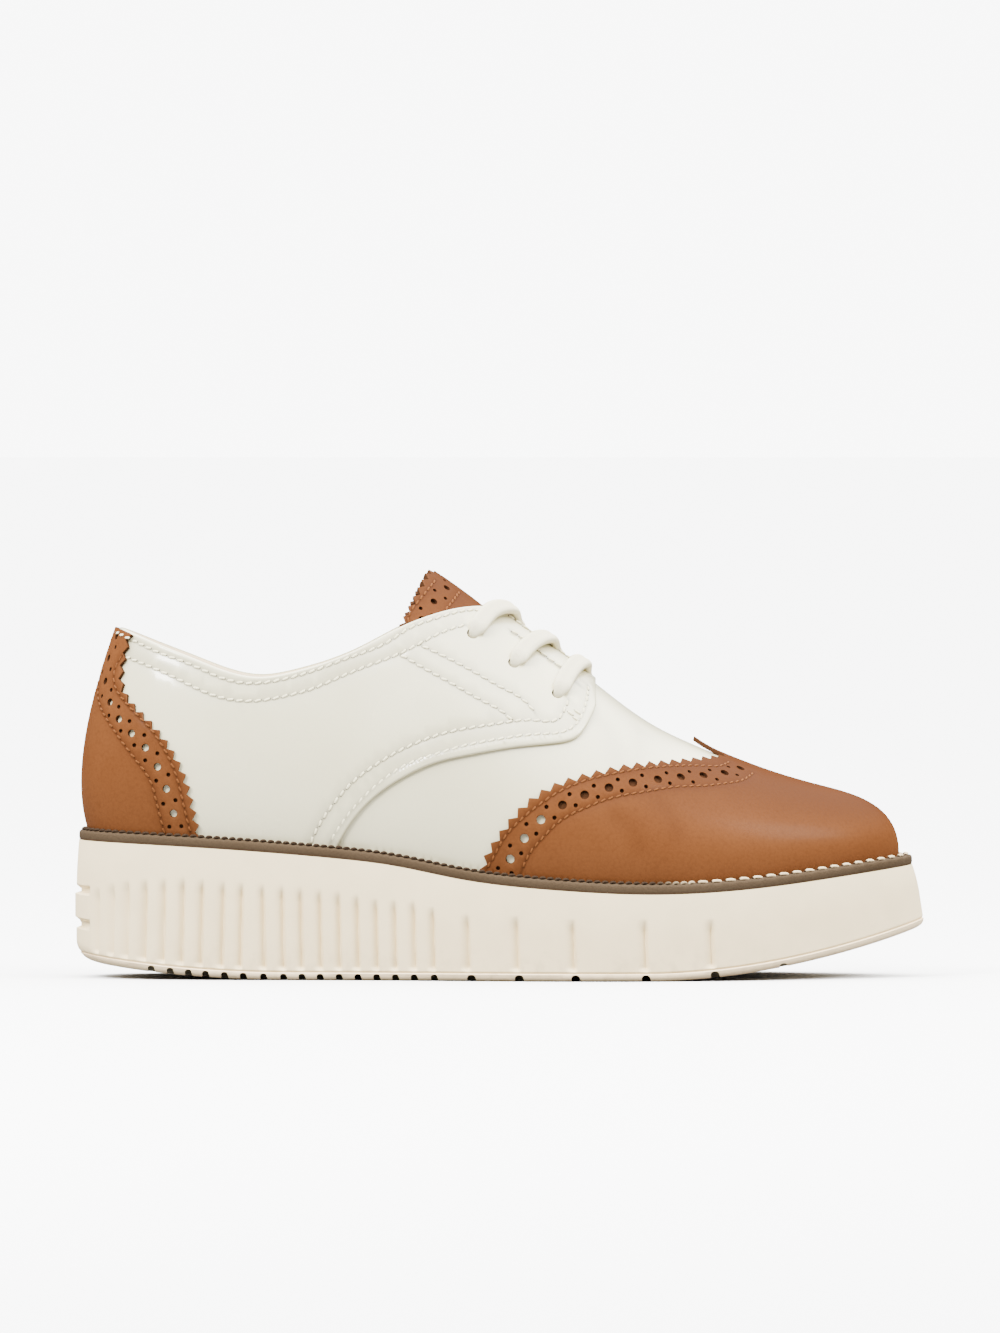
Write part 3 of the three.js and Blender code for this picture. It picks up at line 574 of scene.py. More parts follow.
@dataclass
class MeshMaker:
    """Gathers points and faces, and makes one Blender mesh of them."""

    name: str
    points: list[Array] = field(default_factory=list)
    faces: list[tuple[int, ...]] = field(default_factory=list)
    places: list[int] = field(default_factory=list)
    uvs: list[Array] = field(default_factory=list)
    # For each point, how much painted shade the leather's material gives it, from 0 to 1.
    painted_shade: list[Array] = field(default_factory=list)
    count: int = 0

    def add_points(self, points: Array, uvs: Array | None = None, painted_shade: Array | float = 0.0) -> int:
        """Adds points.

        Args:
            points: in the shoe's millimetres.
            uvs: texture coordinates for them, if the piece has any.
            painted_shade: how far each lies in a seam or an edge, from 0 to 1.

        Returns:
            The number of the first one.
        """
        start = self.count
        self.points.append(points)
        self.painted_shade.append(np.broadcast_to(painted_shade, len(points)))
        if uvs is not None:
            self.uvs.append(uvs)
        self.count += len(points)
        return start

    def take(self, other: "MeshMaker") -> None:
        """Takes in all that another maker has.

        Args:
            other: that maker.
        """
        self.faces.extend(tuple(i + self.count for i in face) for face in other.faces)
        self.points.extend(other.points)
        self.places.extend(other.places)
        self.painted_shade.extend(other.painted_shade)
        self.uvs.extend(other.uvs)
        self.count += other.count

    def add_faces(self, faces: Array, place: int = 0, start: int = 0) -> None:
        """Adds faces of one material place, with their points counted from start."""
        self.faces.extend(tuple(int(i) for i in face) for face in np.asarray(faces) + start)
        self.places.extend([place] * len(faces))

    def add_grid(self, grid: Array, closed_across: bool, uvs: Array | None = None) -> Array:
        """Adds a grid of points and the quads between them.

        Args:
            grid: points in rows and columns.
            closed_across: whether the last column joins the first.
            uvs: texture coordinates of the points, if any.

        Returns:
            The numbers of the points, in the grid's form.
        """
        rows, columns = grid.shape[:2]
        start = self.add_points(grid.reshape(-1, 3), None if uvs is None else uvs.reshape(-1, 2))
        numbers = start + np.arange(rows * columns).reshape(rows, columns)
        right = np.roll(numbers, -1, axis=1) if closed_across else numbers[:, 1:]
        left = numbers if closed_across else numbers[:, :-1]
        quads = np.stack([left[:-1], right[:-1], right[1:], left[1:]], -1).reshape(-1, 4)
        self.add_faces(quads)
        return numbers

    def close_ends(self, numbers: Array) -> None:
        """Closes a tube's two ends with a face each."""
        self.add_faces(numbers[0][::-1][None, :])
        self.add_faces(numbers[-1][None, :])

    def build(self, merge: float = 0.0, sharp: float = 42.0) -> bpy.types.Object:
        """Makes the object, in the row frame.

        Args:
            merge: points closer together than this, in millimetres, become one.
            sharp: edges turned by more degrees than this are shaded as sharp.

        Returns:
            The new object, riding on the shoe's one body.
        """
        points = (np.concatenate(self.points) + ROW_SHIFT) * MM
        mesh = bpy.data.meshes.new(self.name)
        mesh.from_pydata([], [], [])
        mesh.vertices.add(len(points))
        mesh.vertices.foreach_set("co", points.astype(np.float32).ravel())
        totals = np.array([len(face) for face in self.faces], np.int32)
        mesh.loops.add(int(totals.sum()))
        corners = np.fromiter((i for face in self.faces for i in face), np.int32)
        mesh.loops.foreach_set("vertex_index", corners)
        mesh.polygons.add(len(totals))
        starts = np.concatenate([[0], np.cumsum(totals)[:-1]]).astype(np.int32)
        mesh.polygons.foreach_set("loop_start", starts)
        mesh.polygons.foreach_set("material_index", np.array(self.places, np.int32))
        if self.uvs:
            layer = mesh.uv_layers.new(name="UVMap")
            layer.data.foreach_set("uv", np.concatenate(self.uvs)[corners].astype(np.float32).ravel())
        layer = mesh.attributes.new("painted_shade", "FLOAT", "POINT")
        layer.data.foreach_set("value", np.concatenate(self.painted_shade).astype(np.float32))
        mesh.update(calc_edges=True)
        mesh.validate()
        if merge:
            merge_close(mesh, merge * MM)
        mesh.shade_smooth()
        mesh.set_sharp_from_angle(angle=math.radians(sharp))
        made = bpy.data.objects.new(self.name, mesh)
        bpy.context.scene.collection.objects.link(made)
        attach(made, "root")
        return made


def merge_close(mesh: bpy.types.Mesh, distance: float) -> None:
    """Joins the points of a mesh that lie closer together than a distance.

    Args:
        mesh: the mesh.
        distance: in metres.
    """
    work = bmesh.new()
    work.from_mesh(mesh)
    bmesh.ops.remove_doubles(work, verts=work.verts, dist=distance)
    work.to_mesh(mesh)
    work.free()


def tree_of(points: Array) -> KDTree:
    """A search tree of points.

    Args:
        points: in space or in the plane.

    Returns:
        The tree.
    """
    tree = KDTree(len(points))
    for i, place in enumerate(points):
        tree.insert((*place, 0.0)[:3], i)
    tree.balance()
    return tree


def inside(points: Array, loops: Sequence[Array]) -> Array:
    """Whether points lie inside closed loops, by counting crossings.

    Args:
        points: in the plane.
        loops: the outline, and the outlines of its holes.

    Returns:
        One truth value for each point.
    """
    found = np.zeros(len(points), bool)
    x, y = points[:, 0], points[:, 1]
    for loop in loops:
        after = np.roll(loop, -1, axis=0)
        for (ax, ay), (bx, by) in zip(loop, after):
            if ay == by:
                continue
            crossed = (ay > y) != (by > y)
            found ^= crossed & (x < (bx - ax) * (y - ay) / (by - ay) + ax)
    return found


def signed_area(loop: Array) -> float:
    """Area of a loop in the plane, positive when it runs anticlockwise."""
    x, y = loop[:, 0], loop[:, 1]
    return float((x * np.roll(y, -1) - np.roll(x, -1) * y).sum() / 2)


@dataclass
class Punch:
    """A round hole through a piece, or a blind one whose floor, of the dark cut-edge material, is painted
    shade.
    """

    centre: Array
    radius: float
    blind: bool


@dataclass
class Groove:
    """A soft line sunk into, or with a negative depth raised on, a piece: a stitched row or a crease, which
    gets painted shade along it.
    """

    places: Array
    depth: float
    width: float
    guided: bool = True
    # How much painted shade the line gets, from 0 to 1.
    shade: float = 1.0


@dataclass
class Hide:
    """A piece of leather cut to an outline on the last's skin, with thickness, rounded edges and holes."""

    name: str
    last: Last
    chart: Chart
    outline: Array
    base: float
    face: float
    rounding: float = 0.25
    step: float = 2.0
    punches: list[Punch] = field(default_factory=list)
    grooves: list[Groove] = field(default_factory=list)
    lift: Callable[[Array], Array] | None = None
    rounding_steps: int = 3
    floor: float = 0.25
    hole_rounding: float = 0.12
    undercut: float = 0.0
    edge_shade: float = 0.0

    def circle(self, punch: Punch) -> Array:
        """Places round a punched hole.

        Args:
            punch: the hole.

        Returns:
            The places.
        """
        count = 20 if punch.radius > 1 else 12
        angle = np.linspace(0, 2 * math.pi, count, endpoint=False)
        q = np.repeat(punch.centre[None, :], count, axis=0)
        normal = self.last.normals(self.chart, punch.centre[None, :])[0]
        across = unit(np.cross(normal, [0.0, 0.0, 1.0]))
        along = np.cross(normal, across)
        by = punch.radius * (np.cos(angle)[:, None] * across + np.sin(angle)[:, None] * along)
        return self.last.move(self.chart, q, by)

    def offset(self, points: Array, q: Array) -> tuple[Array, Array]:
        """How far the piece's grain side is sunk in or raised at points of the skin, and how much painted
        shade each point gets.

        Args:
            points: on the skin.
            q: their places in the chart.

        Returns:
            Millimetres outwards for each, and how far each lies in a seam, from 0 to 1, as the share of
            painted shade.
        """
        total = np.zeros(len(points))
        seam = np.zeros(len(points))
        for groove in self.grooves:
            line = self.last.points(self.chart, groove.places)
            fine = curve_through(line, groove.width / 2)
            tree = tree_of(fine)
            low = fine.min(0) - 3 * groove.width
            high = fine.max(0) + 3 * groove.width
            close = np.flatnonzero(((points > low) & (points < high)).all(1))
            away = np.array([tree.find(Vector(points[i]))[2] for i in close])
            if len(close):
                share = np.exp(-((away / groove.width) ** 2))
                total[close] -= groove.depth * share
                seam[close] = np.maximum(seam[close], share * groove.shade)
        if self.lift is not None:
            total += self.lift(q)
        return total, seam

    def guides(self) -> Array:
        """Extra places along the stitched rows, so that the mesh can follow them.

        Returns:
            The places.
        """
        rows = []
        for groove in self.grooves:
            if not groove.guided:
                continue
            fine = resample(self.last, self.chart, groove.places, 1.3)
            rows.append(fine)
            aside = sideways(self.last, self.chart, fine)
            for share in (-1.1, 1.1):
                rows.append(self.last.move(self.chart, fine, aside * share * groove.width))
        return np.concatenate(rows) if rows else np.zeros((0, 2))

    def build(self, seams: Sequence[float] = (), bottom: int = 1) -> bpy.types.Object:
        """Cuts the piece, gives it thickness and makes its object.

        Args:
            seams: first chart coordinates at which the outline's own edge is joined to itself.
            bottom: material place of the underside.

        Returns:
            The piece.
        """
        last, chart = self.last, self.chart
        loops = [last.plane(chart, self.outline)]
        loops.extend(last.plane(chart, self.circle(punch)) for punch in self.punches)
        kinds = [False, *(punch.blind for punch in self.punches)]
        for i, loop in enumerate(loops):
            if (signed_area(loop) > 0) != (i == 0):
                loops[i] = loop[::-1]
        edge_points = np.concatenate(loops)
        edges, start = [], 0
        for loop in loops:
            numbers = start + np.arange(len(loop))
            edges.extend(zip(numbers.tolist(), np.roll(numbers, -1).tolist()))
            start += len(loop)
        tree = tree_of(edge_points)
        guides = last.plane(chart, self.guides())
        low, high = edge_points.min(0), edge_points.max(0)
        rows = np.arange(low[1], high[1], self.step * 0.866)
        fill = []
        for k, height in enumerate(rows):
            across = np.arange(low[0] + (k % 2) * self.step / 2, high[0], self.step)
            fill.append(np.stack([across, np.full(len(across), height)], 1))
        fill_points = np.concatenate(fill)
        if len(guides):
            guide_tree = tree_of(guides)
            clear = [guide_tree.find((p[0], p[1], 0))[2] > self.step * 0.55 for p in fill_points]
            fill_points = fill_points[np.array(clear)]
        extra = np.concatenate([guides, fill_points])
        extra = extra[inside(extra, loops)]
        spaced = [tree.find((p[0], p[1], 0))[2] > 0.4 for p in extra]
        extra = extra[np.array(spaced)]
        points = np.concatenate([edge_points, extra])
        made, _, faces, origin, _, _ = delaunay_2d_cdt([Vector(p) for p in points], edges, [], 0, 1e-7)
        flat = np.array([tuple(p) for p in made])
        first = {source: i for i, sources in enumerate(origin) for source in sources}
        triangles = np.array([f for f in faces if len(f) == 3])
        corners = flat[triangles]
        ab, ac = corners[:, 1] - corners[:, 0], corners[:, 2] - corners[:, 0]
        area = ab[:, 0] * ac[:, 1] - ab[:, 1] * ac[:, 0]
        triangles[area < 0] = triangles[area < 0][:, ::-1]
        keep = inside(corners.mean(1), loops) & (np.abs(area) > 1e-5)
        triangles = triangles[keep]
        q = last.unplane(chart, flat)
        skin = last.points(chart, q)
        normal = last.normals(chart, q)
        raised, seam = self.offset(skin, q)
        maker = MeshMaker(self.name)
        top = maker.add_points(skin + normal * (self.face + raised)[:, None], painted_shade=seam)
        maker.add_faces(triangles, Surface.GRAIN.value, top)
        lifted = np.zeros(len(q)) if self.lift is None else self.lift(q)
        under = skin + normal * (self.base + lifted)[:, None]
        below = maker.add_points(under)
        maker.add_faces(triangles[:, ::-1], bottom, below)
        start = 0
        for place, (loop, blind) in enumerate(zip(loops, kinds)):
            numbers = np.array([first[start + i] for i in range(len(loop))])
            start += len(loop)
            self.wall(maker, numbers, skin, normal, raised, lifted, blind, below, seams, q, place > 0)
        return maker.build(merge=0.04)

    def wall(
        self,
        maker: MeshMaker,
        numbers: Array,
        skin: Array,
        normal: Array,
        raised: Array,
        lifted: Array,
        blind: bool,
        below: int,
        seams: Sequence[float],
        q: Array,
        hole: bool,
    ) -> None:
        """Adds the rounded edge and the cut wall of one loop.

        Args:
            maker: the mesh being made.
            numbers: the loop's points.
            skin: all points on the skin.
            normal: their outward directions.
            raised: how far the grain side is raised at each.
            lifted: how far the whole piece is lifted at each.
            blind: whether the hole ends in a floor.
            below: number of the underside's first point.
            seams: first coordinates of joined edges, which get no wall.
            q: the places of all points.
            hole: whether the loop is a hole.
        """
        rounding = self.hole_rounding if hole else self.rounding
        # Painted shade: a hole's rounded rim is darkened fully; an outline's edge by edge_shade.
        shade = 1.0 if hole else self.edge_shade
        place, out = skin[numbers], normal[numbers]
        on_seam = np.zeros(len(numbers), bool)
        for seam in seams:
            on_seam |= np.abs(q[numbers, 0] - seam) < 1e-4
        joined = on_seam & np.roll(on_seam, -1)
        forward = unit(np.roll(place, -1, axis=0) - place)
        forward[joined] = 0
        side = np.cross(forward + np.roll(forward, 1, axis=0), out)
        side = unit(side)
        heights = self.face + raised[numbers]
        foot = self.base + lifted[numbers]
        rings = [numbers]
        count = self.rounding_steps
        for k in range(1, count + 1):
            angle = 0.5 * math.pi * k / count
            ring = place + side * rounding * math.sin(angle)
            ring = ring + out * (heights - rounding * (1 - math.cos(angle)))[:, None]
            start = maker.add_points(ring, painted_shade=shade * k / count)
            rings.append(start + np.arange(len(numbers)))
        if self.undercut and not hole:
            # Painted shade: the ring tucked under the edge is darkened fully.
            for tuck, rise, dark in ((0.05, 0.75, shade), (-0.6, 0.5, 1.0)):
                ring = place + side * (rounding * tuck) + out * (foot + rise * 0.6)[:, None]
                start = maker.add_points(ring - side * self.undercut * (tuck < 0), painted_shade=dark)
                rings.append(start + np.arange(len(numbers)))
        # Painted shade: a blind hole ends in a floor of the dark cut-edge material.
        if blind:
            ring = place + side * rounding + out * (foot + self.floor)[:, None]
            start = maker.add_points(ring)
            rings.append(start + np.arange(len(numbers)))
            maker.add_faces(rings[-1][::-1][None, :], Surface.CUT.value)
            maker.add_faces((below + numbers)[None, :], Surface.CUT.value)
        else:
            rings.append(below + numbers)
        for k, (upper, lower) in enumerate(zip(rings, rings[1:])):
            quads = np.stack([upper, lower, np.roll(lower, -1), np.roll(upper, -1)], 1)[~joined]
            rounded = k < count - 1
            maker.add_faces(quads, Surface.GRAIN.value if rounded else Surface.CUT.value)


def resample(last: Last, chart: Chart, q: Array, step: float, whole: bool = False) -> Array:
    """Spaces places evenly along a line on the skin.

    Args:
        last: the last.
        chart: the chart of the places.
        q: the line.
        step: distance between the new places.
        whole: whether the number of steps is even, as pinking needs.

    Returns:
        The new places.
    """
    at = lengths_along(last.points(chart, q))
    count = max(1, round(at[-1] / step))
    if whole:
        count = 2 * max(1, round(at[-1] / (2 * step)))
    new = np.linspace(0, at[-1], count + 1)
    return np.stack([np.interp(new, at, q[:, k]) for k in range(2)], 1)


def sideways(last: Last, chart: Chart, q: Array) -> Array:
    """Directions along the skin to the right of a line, seen from outside.

    Args:
        last: the last.
        chart: the chart.
        q: the line.

    Returns:
        The directions.
    """
    points = last.points(chart, q)
    along = unit(np.gradient(points, axis=0))
    return unit(np.cross(along, last.normals(chart, q)))


def pinked(last: Last, chart: Chart, q: Array, pitch: float, depth: float, inward: float) -> Array:
    """Cuts a line into pointed teeth.

    Args:
        last: the last.
        chart: the chart of the places.
        q: the line through the teeth's tips.
        pitch: distance between tips.
        depth: how deep the notches go.
        inward: 1 if the piece lies to the line's right, seen from outside, or -1.

    Returns:
        Tips and notches in turn, starting and ending on a tip.
    """
    even = resample(last, chart, q, pitch / 2, whole=True)
    aside = sideways(last, chart, even)
    back = np.where(np.arange(len(even)) % 2 == 1, depth, 0.0)
    return last.move(chart, even, aside * (inward * back)[:, None])


@dataclass(frozen=True)
class Thread:
    """A sewing thread, and how it is stitched."""

    pitch: float
    share: float
    width: float
    height: float
    slant: float = 8.0


@dataclass
class Stitches:
    """Rows of single stitches, joined in one mesh."""

    name: str
    last: Last
    thread: Thread
    around: int = 8
    rings: int = 7
    maker: MeshMaker = field(init=False)

    def __post_init__(self) -> None:
        """Makes one stitch, as a pattern for all."""
        self.maker = MeshMaker(self.name)
        along = np.linspace(-1, 1, self.rings)
        angle = np.linspace(0, 2 * math.pi, self.around, endpoint=False)
        thick = (1 - along**4) ** 0.5
        thick[[0, -1]] = 0.25
        half = self.thread.pitch * self.thread.share / 2
        x = np.repeat((along * half)[:, None], self.around, 1)
        y = thick[:, None] * np.cos(angle) * self.thread.width / 2
        z = thick[:, None] * np.sin(angle) * self.thread.height / 2
        z = z + (self.thread.height * (0.22 - 0.5 * np.abs(along) ** 3))[:, None]
        self.pattern = np.stack([x, y, z], -1)
        u = np.repeat((x[:, :1]), self.around, 1)
        v = np.repeat((angle / (2 * math.pi))[None, :], self.rings, 0)
        self.pattern_uv = np.stack([u, v], -1)

    def place(self, centres: Array, along: Array, out: Array) -> None:
        """Puts a stitch at each of many points.

        Args:
            centres: the points on the leather.
            along: the row's direction at each.
            out: the outward direction at each.
        """
        across = unit(np.cross(out, along))
        along = unit(np.cross(across, out))
        slant = math.radians(self.thread.slant)
        ahead = along * math.cos(slant) + across * math.sin(slant)
        side = across * math.cos(slant) - along * math.sin(slant)
        x, y, z = (self.pattern[..., k : k + 1] for k in range(3))
        for centre, a, b, c in zip(centres, ahead, side, out):
            grid = centre + x * a + y * b + z * c
            numbers = self.maker.add_grid(grid, True, uvs=self.pattern_uv)
            self.maker.close_ends(numbers)

    def row(self, chart: Chart, q: Array, height: float) -> None:
        """Sews a row along a line on the skin.

        Args:
            chart: the chart of the places.
            q: the line.
            height: how far the leather's face stands off the skin.
        """
        even = resample(self.last, chart, q, self.thread.pitch)
        middles = (even[1:] + even[:-1]) / 2
        ends = self.last.points(chart, even, height)
        centres = self.last.points(chart, middles, height)
        self.place(centres, ends[1:] - ends[:-1], self.last.normals(chart, middles))


Socket = bpy.types.NodeSocket


@dataclass
class Graph:
    """A node tree with short ways to add nodes and join them."""

    tree: bpy.types.NodeTree

    def add(self, kind: str, inputs: dict | None = None, **settings: object) -> bpy.types.Node:
        """Adds a node.

        Args:
            kind: the node's type.
            inputs: its sockets, by name or number, each with a value or the socket that feeds it.
            settings: its own settings.

        Returns:
            The node.
        """
        node = self.tree.nodes.new(kind)
        for name, value in settings.items():
            setattr(node, name, value)
        for key, value in (inputs or {}).items():
            self.feed(node.inputs[key], value)
        return node

    def feed(self, socket: Socket, value: object) -> None:
        """Gives a socket a value, or joins the socket that feeds it.

        Args:
            socket: the socket.
            value: a value or a socket.
        """
        if isinstance(value, bpy.types.NodeSocket):
            self.tree.links.new(value, socket)
        else:
            socket.default_value = value

    def math(self, operation: str, a: object, b: object = 0.0, c: object = 0.0) -> Socket:
        """The result of a sum."""
        return self.add("ShaderNodeMath", {0: a, 1: b, 2: c}, operation=operation).outputs[0]

    def spread(self, value: object, low: float, high: float, to_low: float, to_high: float) -> Socket:
        """A value carried from one range to another, smoothly, and held at its ends."""
        inputs = {"Value": value, "From Min": low, "From Max": high, "To Min": to_low, "To Max": to_high}
        return self.add("ShaderNodeMapRange", inputs, interpolation_type="SMOOTHSTEP").outputs["Result"]

    def noise(self, vector: Socket, scale: object, detail: float = 3.0, roughness: float = 0.5) -> Socket:
        """Soft noise over a vector."""
        inputs = {"Vector": vector, "Scale": scale, "Detail": detail, "Roughness": roughness}
        return self.add("ShaderNodeTexNoise", inputs).outputs["Fac"]

    def tint(self, share: object, a: object, b: object) -> Socket:
        """A colour between two.

        Args:
            share: how much of the second.
            a: the first.
            b: the second.

        Returns:
            The colour.
        """
        node = self.add("ShaderNodeMix", data_type="RGBA", blend_type="MIX")
        self.feed(node.inputs[0], share)
        self.feed(node.inputs[6], a)
        self.feed(node.inputs[7], b)
        return node.outputs[2]

    def product(self, a: object, b: object) -> Socket:
        """One value times another."""
        return self.math("MULTIPLY", a, b)

    def place(self) -> Socket:
        """The place on the object, in metres."""
        return self.add("ShaderNodeTexCoord").outputs["Object"]

    def part(self, vector: Socket, axis: str) -> Socket:
        """One coordinate of a vector."""
        return self.add("ShaderNodeSeparateXYZ", {0: vector}).outputs[axis]

    def cells(self, vector: Socket, scale: object, **settings: object) -> Socket:
        """Distance from the middles of small random cells."""
        node = self.add("ShaderNodeTexVoronoi", {"Vector": vector, "Scale": scale}, **settings)
        return node.outputs["Distance"]

    def bump(self, height: Socket, strength: float, depth: float) -> Socket:
        """Normals from a height, whose depth is in millimetres."""
        inputs = {"Height": height, "Strength": strength, "Distance": depth * MM}
        return self.add("ShaderNodeBump", inputs).outputs[0]

    def use(self, group: bpy.types.NodeTree, **inputs: object) -> bpy.types.Node:
        """Places a node group, with its named inputs given with lower case and underscores.

        Args:
            group: the group.
            inputs: its inputs.

        Returns:
            The node.
        """
        node = self.tree.nodes.new("ShaderNodeGroup")
        node.node_tree = group
        for name, value in inputs.items():
            self.feed(node.inputs[name.replace("_", " ").capitalize()], value)
        return node


def new_group(
    name: str, inputs: dict[str, float], outputs: Sequence[str]
) -> tuple[bpy.types.NodeTree, Graph, bpy.types.Node, bpy.types.Node]:
    """Starts a shader node group.

    Args:
        name: its name.
        inputs: its inputs' names and values.
        outputs: its outputs' names.

    Returns:
        The group, its graph, and its input and output nodes.
    """
    tree = bpy.data.node_groups.new(name, "ShaderNodeTree")
    for label, value in inputs.items():
        socket = tree.interface.new_socket(name=label, in_out="INPUT", socket_type="NodeSocketFloat")
        socket.default_value = value
    for label in outputs:
        tree.interface.new_socket(name=label, in_out="OUTPUT", socket_type="NodeSocketFloat")
    graph = Graph(tree)
    return tree, graph, tree.nodes.new("NodeGroupInput"), tree.nodes.new("NodeGroupOutput")


@dataclass
class Effects:
    """The shader node groups that several materials use."""

    def __post_init__(self) -> None:
        """Builds each group once."""
        self.grain = self.build_grain()
        self.drift = self.build_drift()
        self.moulded = self.build_moulded()
        self.twist = self.build_twist()

    def build_grain(self) -> bpy.types.NodeTree:
        """Leather's grain: fine pebbles with pores and soft stretch, as a height and a tone.

        Returns:
            The group.
        """
        inputs = {"Scale": 1.0, "Pores": 0.5}
        tree, graph, given, result = new_group("leather_grain", inputs, ["Height", "Tone"])
        place = graph.place()
        scale = given.outputs["Scale"]
        warp = graph.add("ShaderNodeTexNoise", {"Vector": place, "Scale": 260.0, "Detail": 2.0})
        small = {0: warp.outputs["Color"], 1: (0.0006, 0.0006, 0.0006)}
        bent = graph.add("ShaderNodeVectorMath", small, operation="MULTIPLY").outputs[0]
        bent = graph.add("ShaderNodeVectorMath", {0: place, 1: bent}, operation="ADD").outputs[0]
        pebble = graph.cells(bent, graph.product(scale, 1500.0), feature="SMOOTH_F1")
        fine = graph.noise(place, graph.product(scale, 2600.0), 4.0, 0.6)
        pore = graph.cells(place, graph.product(scale, 900.0))
        pit = graph.product(graph.spread(pore, 0.0, 0.22, 1.0, 0.0), given.outputs["Pores"])
        height = graph.math("MULTIPLY_ADD", pebble, -0.9, graph.product(fine, 0.5))
        height = graph.math("SUBTRACT", height, pit)
        graph.feed(result.inputs["Height"], height)
        graph.feed(result.inputs["Tone"], graph.spread(height, -0.8, 0.4, 0.0, 1.0))
        return tree

    def build_drift(self) -> bpy.types.NodeTree:
        """Slow, uneven change over a surface, as from hand finishing and handling, and fine scuffs.

        Returns:
            The group.
        """
        tree, graph, given, result = new_group("finish_drift", {"Scale": 1.0}, ["Cloud", "Scuff"])
        place = graph.place()
        scale = given.outputs["Scale"]
        cloud = graph.noise(place, graph.product(scale, 22.0), 3.0, 0.55)
        graph.feed(result.inputs["Cloud"], graph.spread(cloud, 0.3, 0.7, 0.0, 1.0))
        stretched = graph.add("ShaderNodeMapping", {"Vector": place, "Scale": (0.35, 1.0, 1.6)}).outputs[0]
        marks = graph.noise(stretched, graph.product(scale, 420.0), 5.0, 0.7)
        where = graph.noise(place, graph.product(scale, 60.0), 2.0, 0.5)
        marks = graph.spread(marks, 0.58, 0.72, 0.0, 1.0)
        graph.feed(result.inputs["Scuff"], graph.product(marks, graph.spread(where, 0.5, 0.7, 0.0, 1.0)))
        return tree

    def build_moulded(self) -> bpy.types.NodeTree:
        """Moulded foam rubber: a fine matt tooth, small pits, soft swells of tone and darker patches towards
        the bottom.

        Returns:
            The group.
        """
        tree, graph, given, result = new_group("moulded_rubber", {"Scale": 1.0}, ["Height", "Tone", "Low_darkening"])
        place = graph.place()
        scale = given.outputs["Scale"]
        tooth = graph.noise(place, graph.product(scale, 3200.0), 3.0, 0.6)
        swell = graph.noise(place, graph.product(scale, 90.0), 3.0, 0.5)
        cells = graph.cells(place, graph.product(scale, 700.0))
        pit = graph.spread(cells, 0.03, 0.12, 1.0, 0.0)
        height = graph.math("MULTIPLY_ADD", swell, 1.2, graph.product(tooth, 0.25))
        height = graph.math("SUBTRACT", height, pit)
        graph.feed(result.inputs["Height"], height)
        graph.feed(result.inputs["Tone"], graph.spread(swell, 0.3, 0.7, 0.0, 1.0))
        # Darker in patches towards the bottom, within 16 mm of the floor.
        low = graph.spread(graph.part(place, "Z"), 0.0, 0.016, 1.0, 0.0)
        patch = graph.noise(place, graph.product(scale, 240.0), 4.0, 0.6)
        low_darkening = graph.product(low, graph.spread(patch, 0.42, 0.75, 0.0, 1.0))
        graph.feed(result.inputs["Low_darkening"], low_darkening)
        return tree

    def build_twist(self) -> bpy.types.NodeTree:
        """Twisted yarn, over a stitch's or a lace's own texture coordinates in millimetres.

        Returns:
            The group.
        """
        inputs = {"Pitch": 0.5, "Around": 1.0, "Mirror": 0.0, "Half": 1.0}
        tree, graph, given, result = new_group("yarn_twist", inputs, ["Height", "Tone", "Ends"])
        place = graph.add("ShaderNodeUVMap", uv_map="UVMap").outputs[0]
        parts = graph.add("ShaderNodeSeparateXYZ", {0: place})
        along = graph.math("DIVIDE", parts.outputs["X"], given.outputs["Pitch"])
        across = parts.outputs["Y"]
        folded = graph.math("ABSOLUTE", across)
        more = graph.math("SUBTRACT", folded, across)
        mixed = graph.math("MULTIPLY_ADD", more, given.outputs["Mirror"], across)
        turn = graph.math("MULTIPLY_ADD", mixed, given.outputs["Around"], along)
        wave = graph.math("SINE", graph.product(turn, 2 * math.pi))
        fibre_place = graph.place()
        fibre = graph.noise(fibre_place, 5200.0, 3.0, 0.7)
        height = graph.math("MULTIPLY_ADD", fibre, 0.8, graph.math("ABSOLUTE", wave))
        graph.feed(result.inputs["Height"], height)
        graph.feed(result.inputs["Tone"], graph.spread(height, 0.2, 1.2, 0.0, 1.0))
        # Ends: a mask near a stitch's ends, where the yarn's material paints shade as the thread dives into
        # the leather.
        reach = graph.math("DIVIDE", graph.math("ABSOLUTE", parts.outputs["X"]), given.outputs["Half"])
        graph.feed(result.inputs["Ends"], graph.spread(reach, 0.62, 0.86, 0.0, 1.0))
        return tree


Colour = tuple[float, float, float, float]


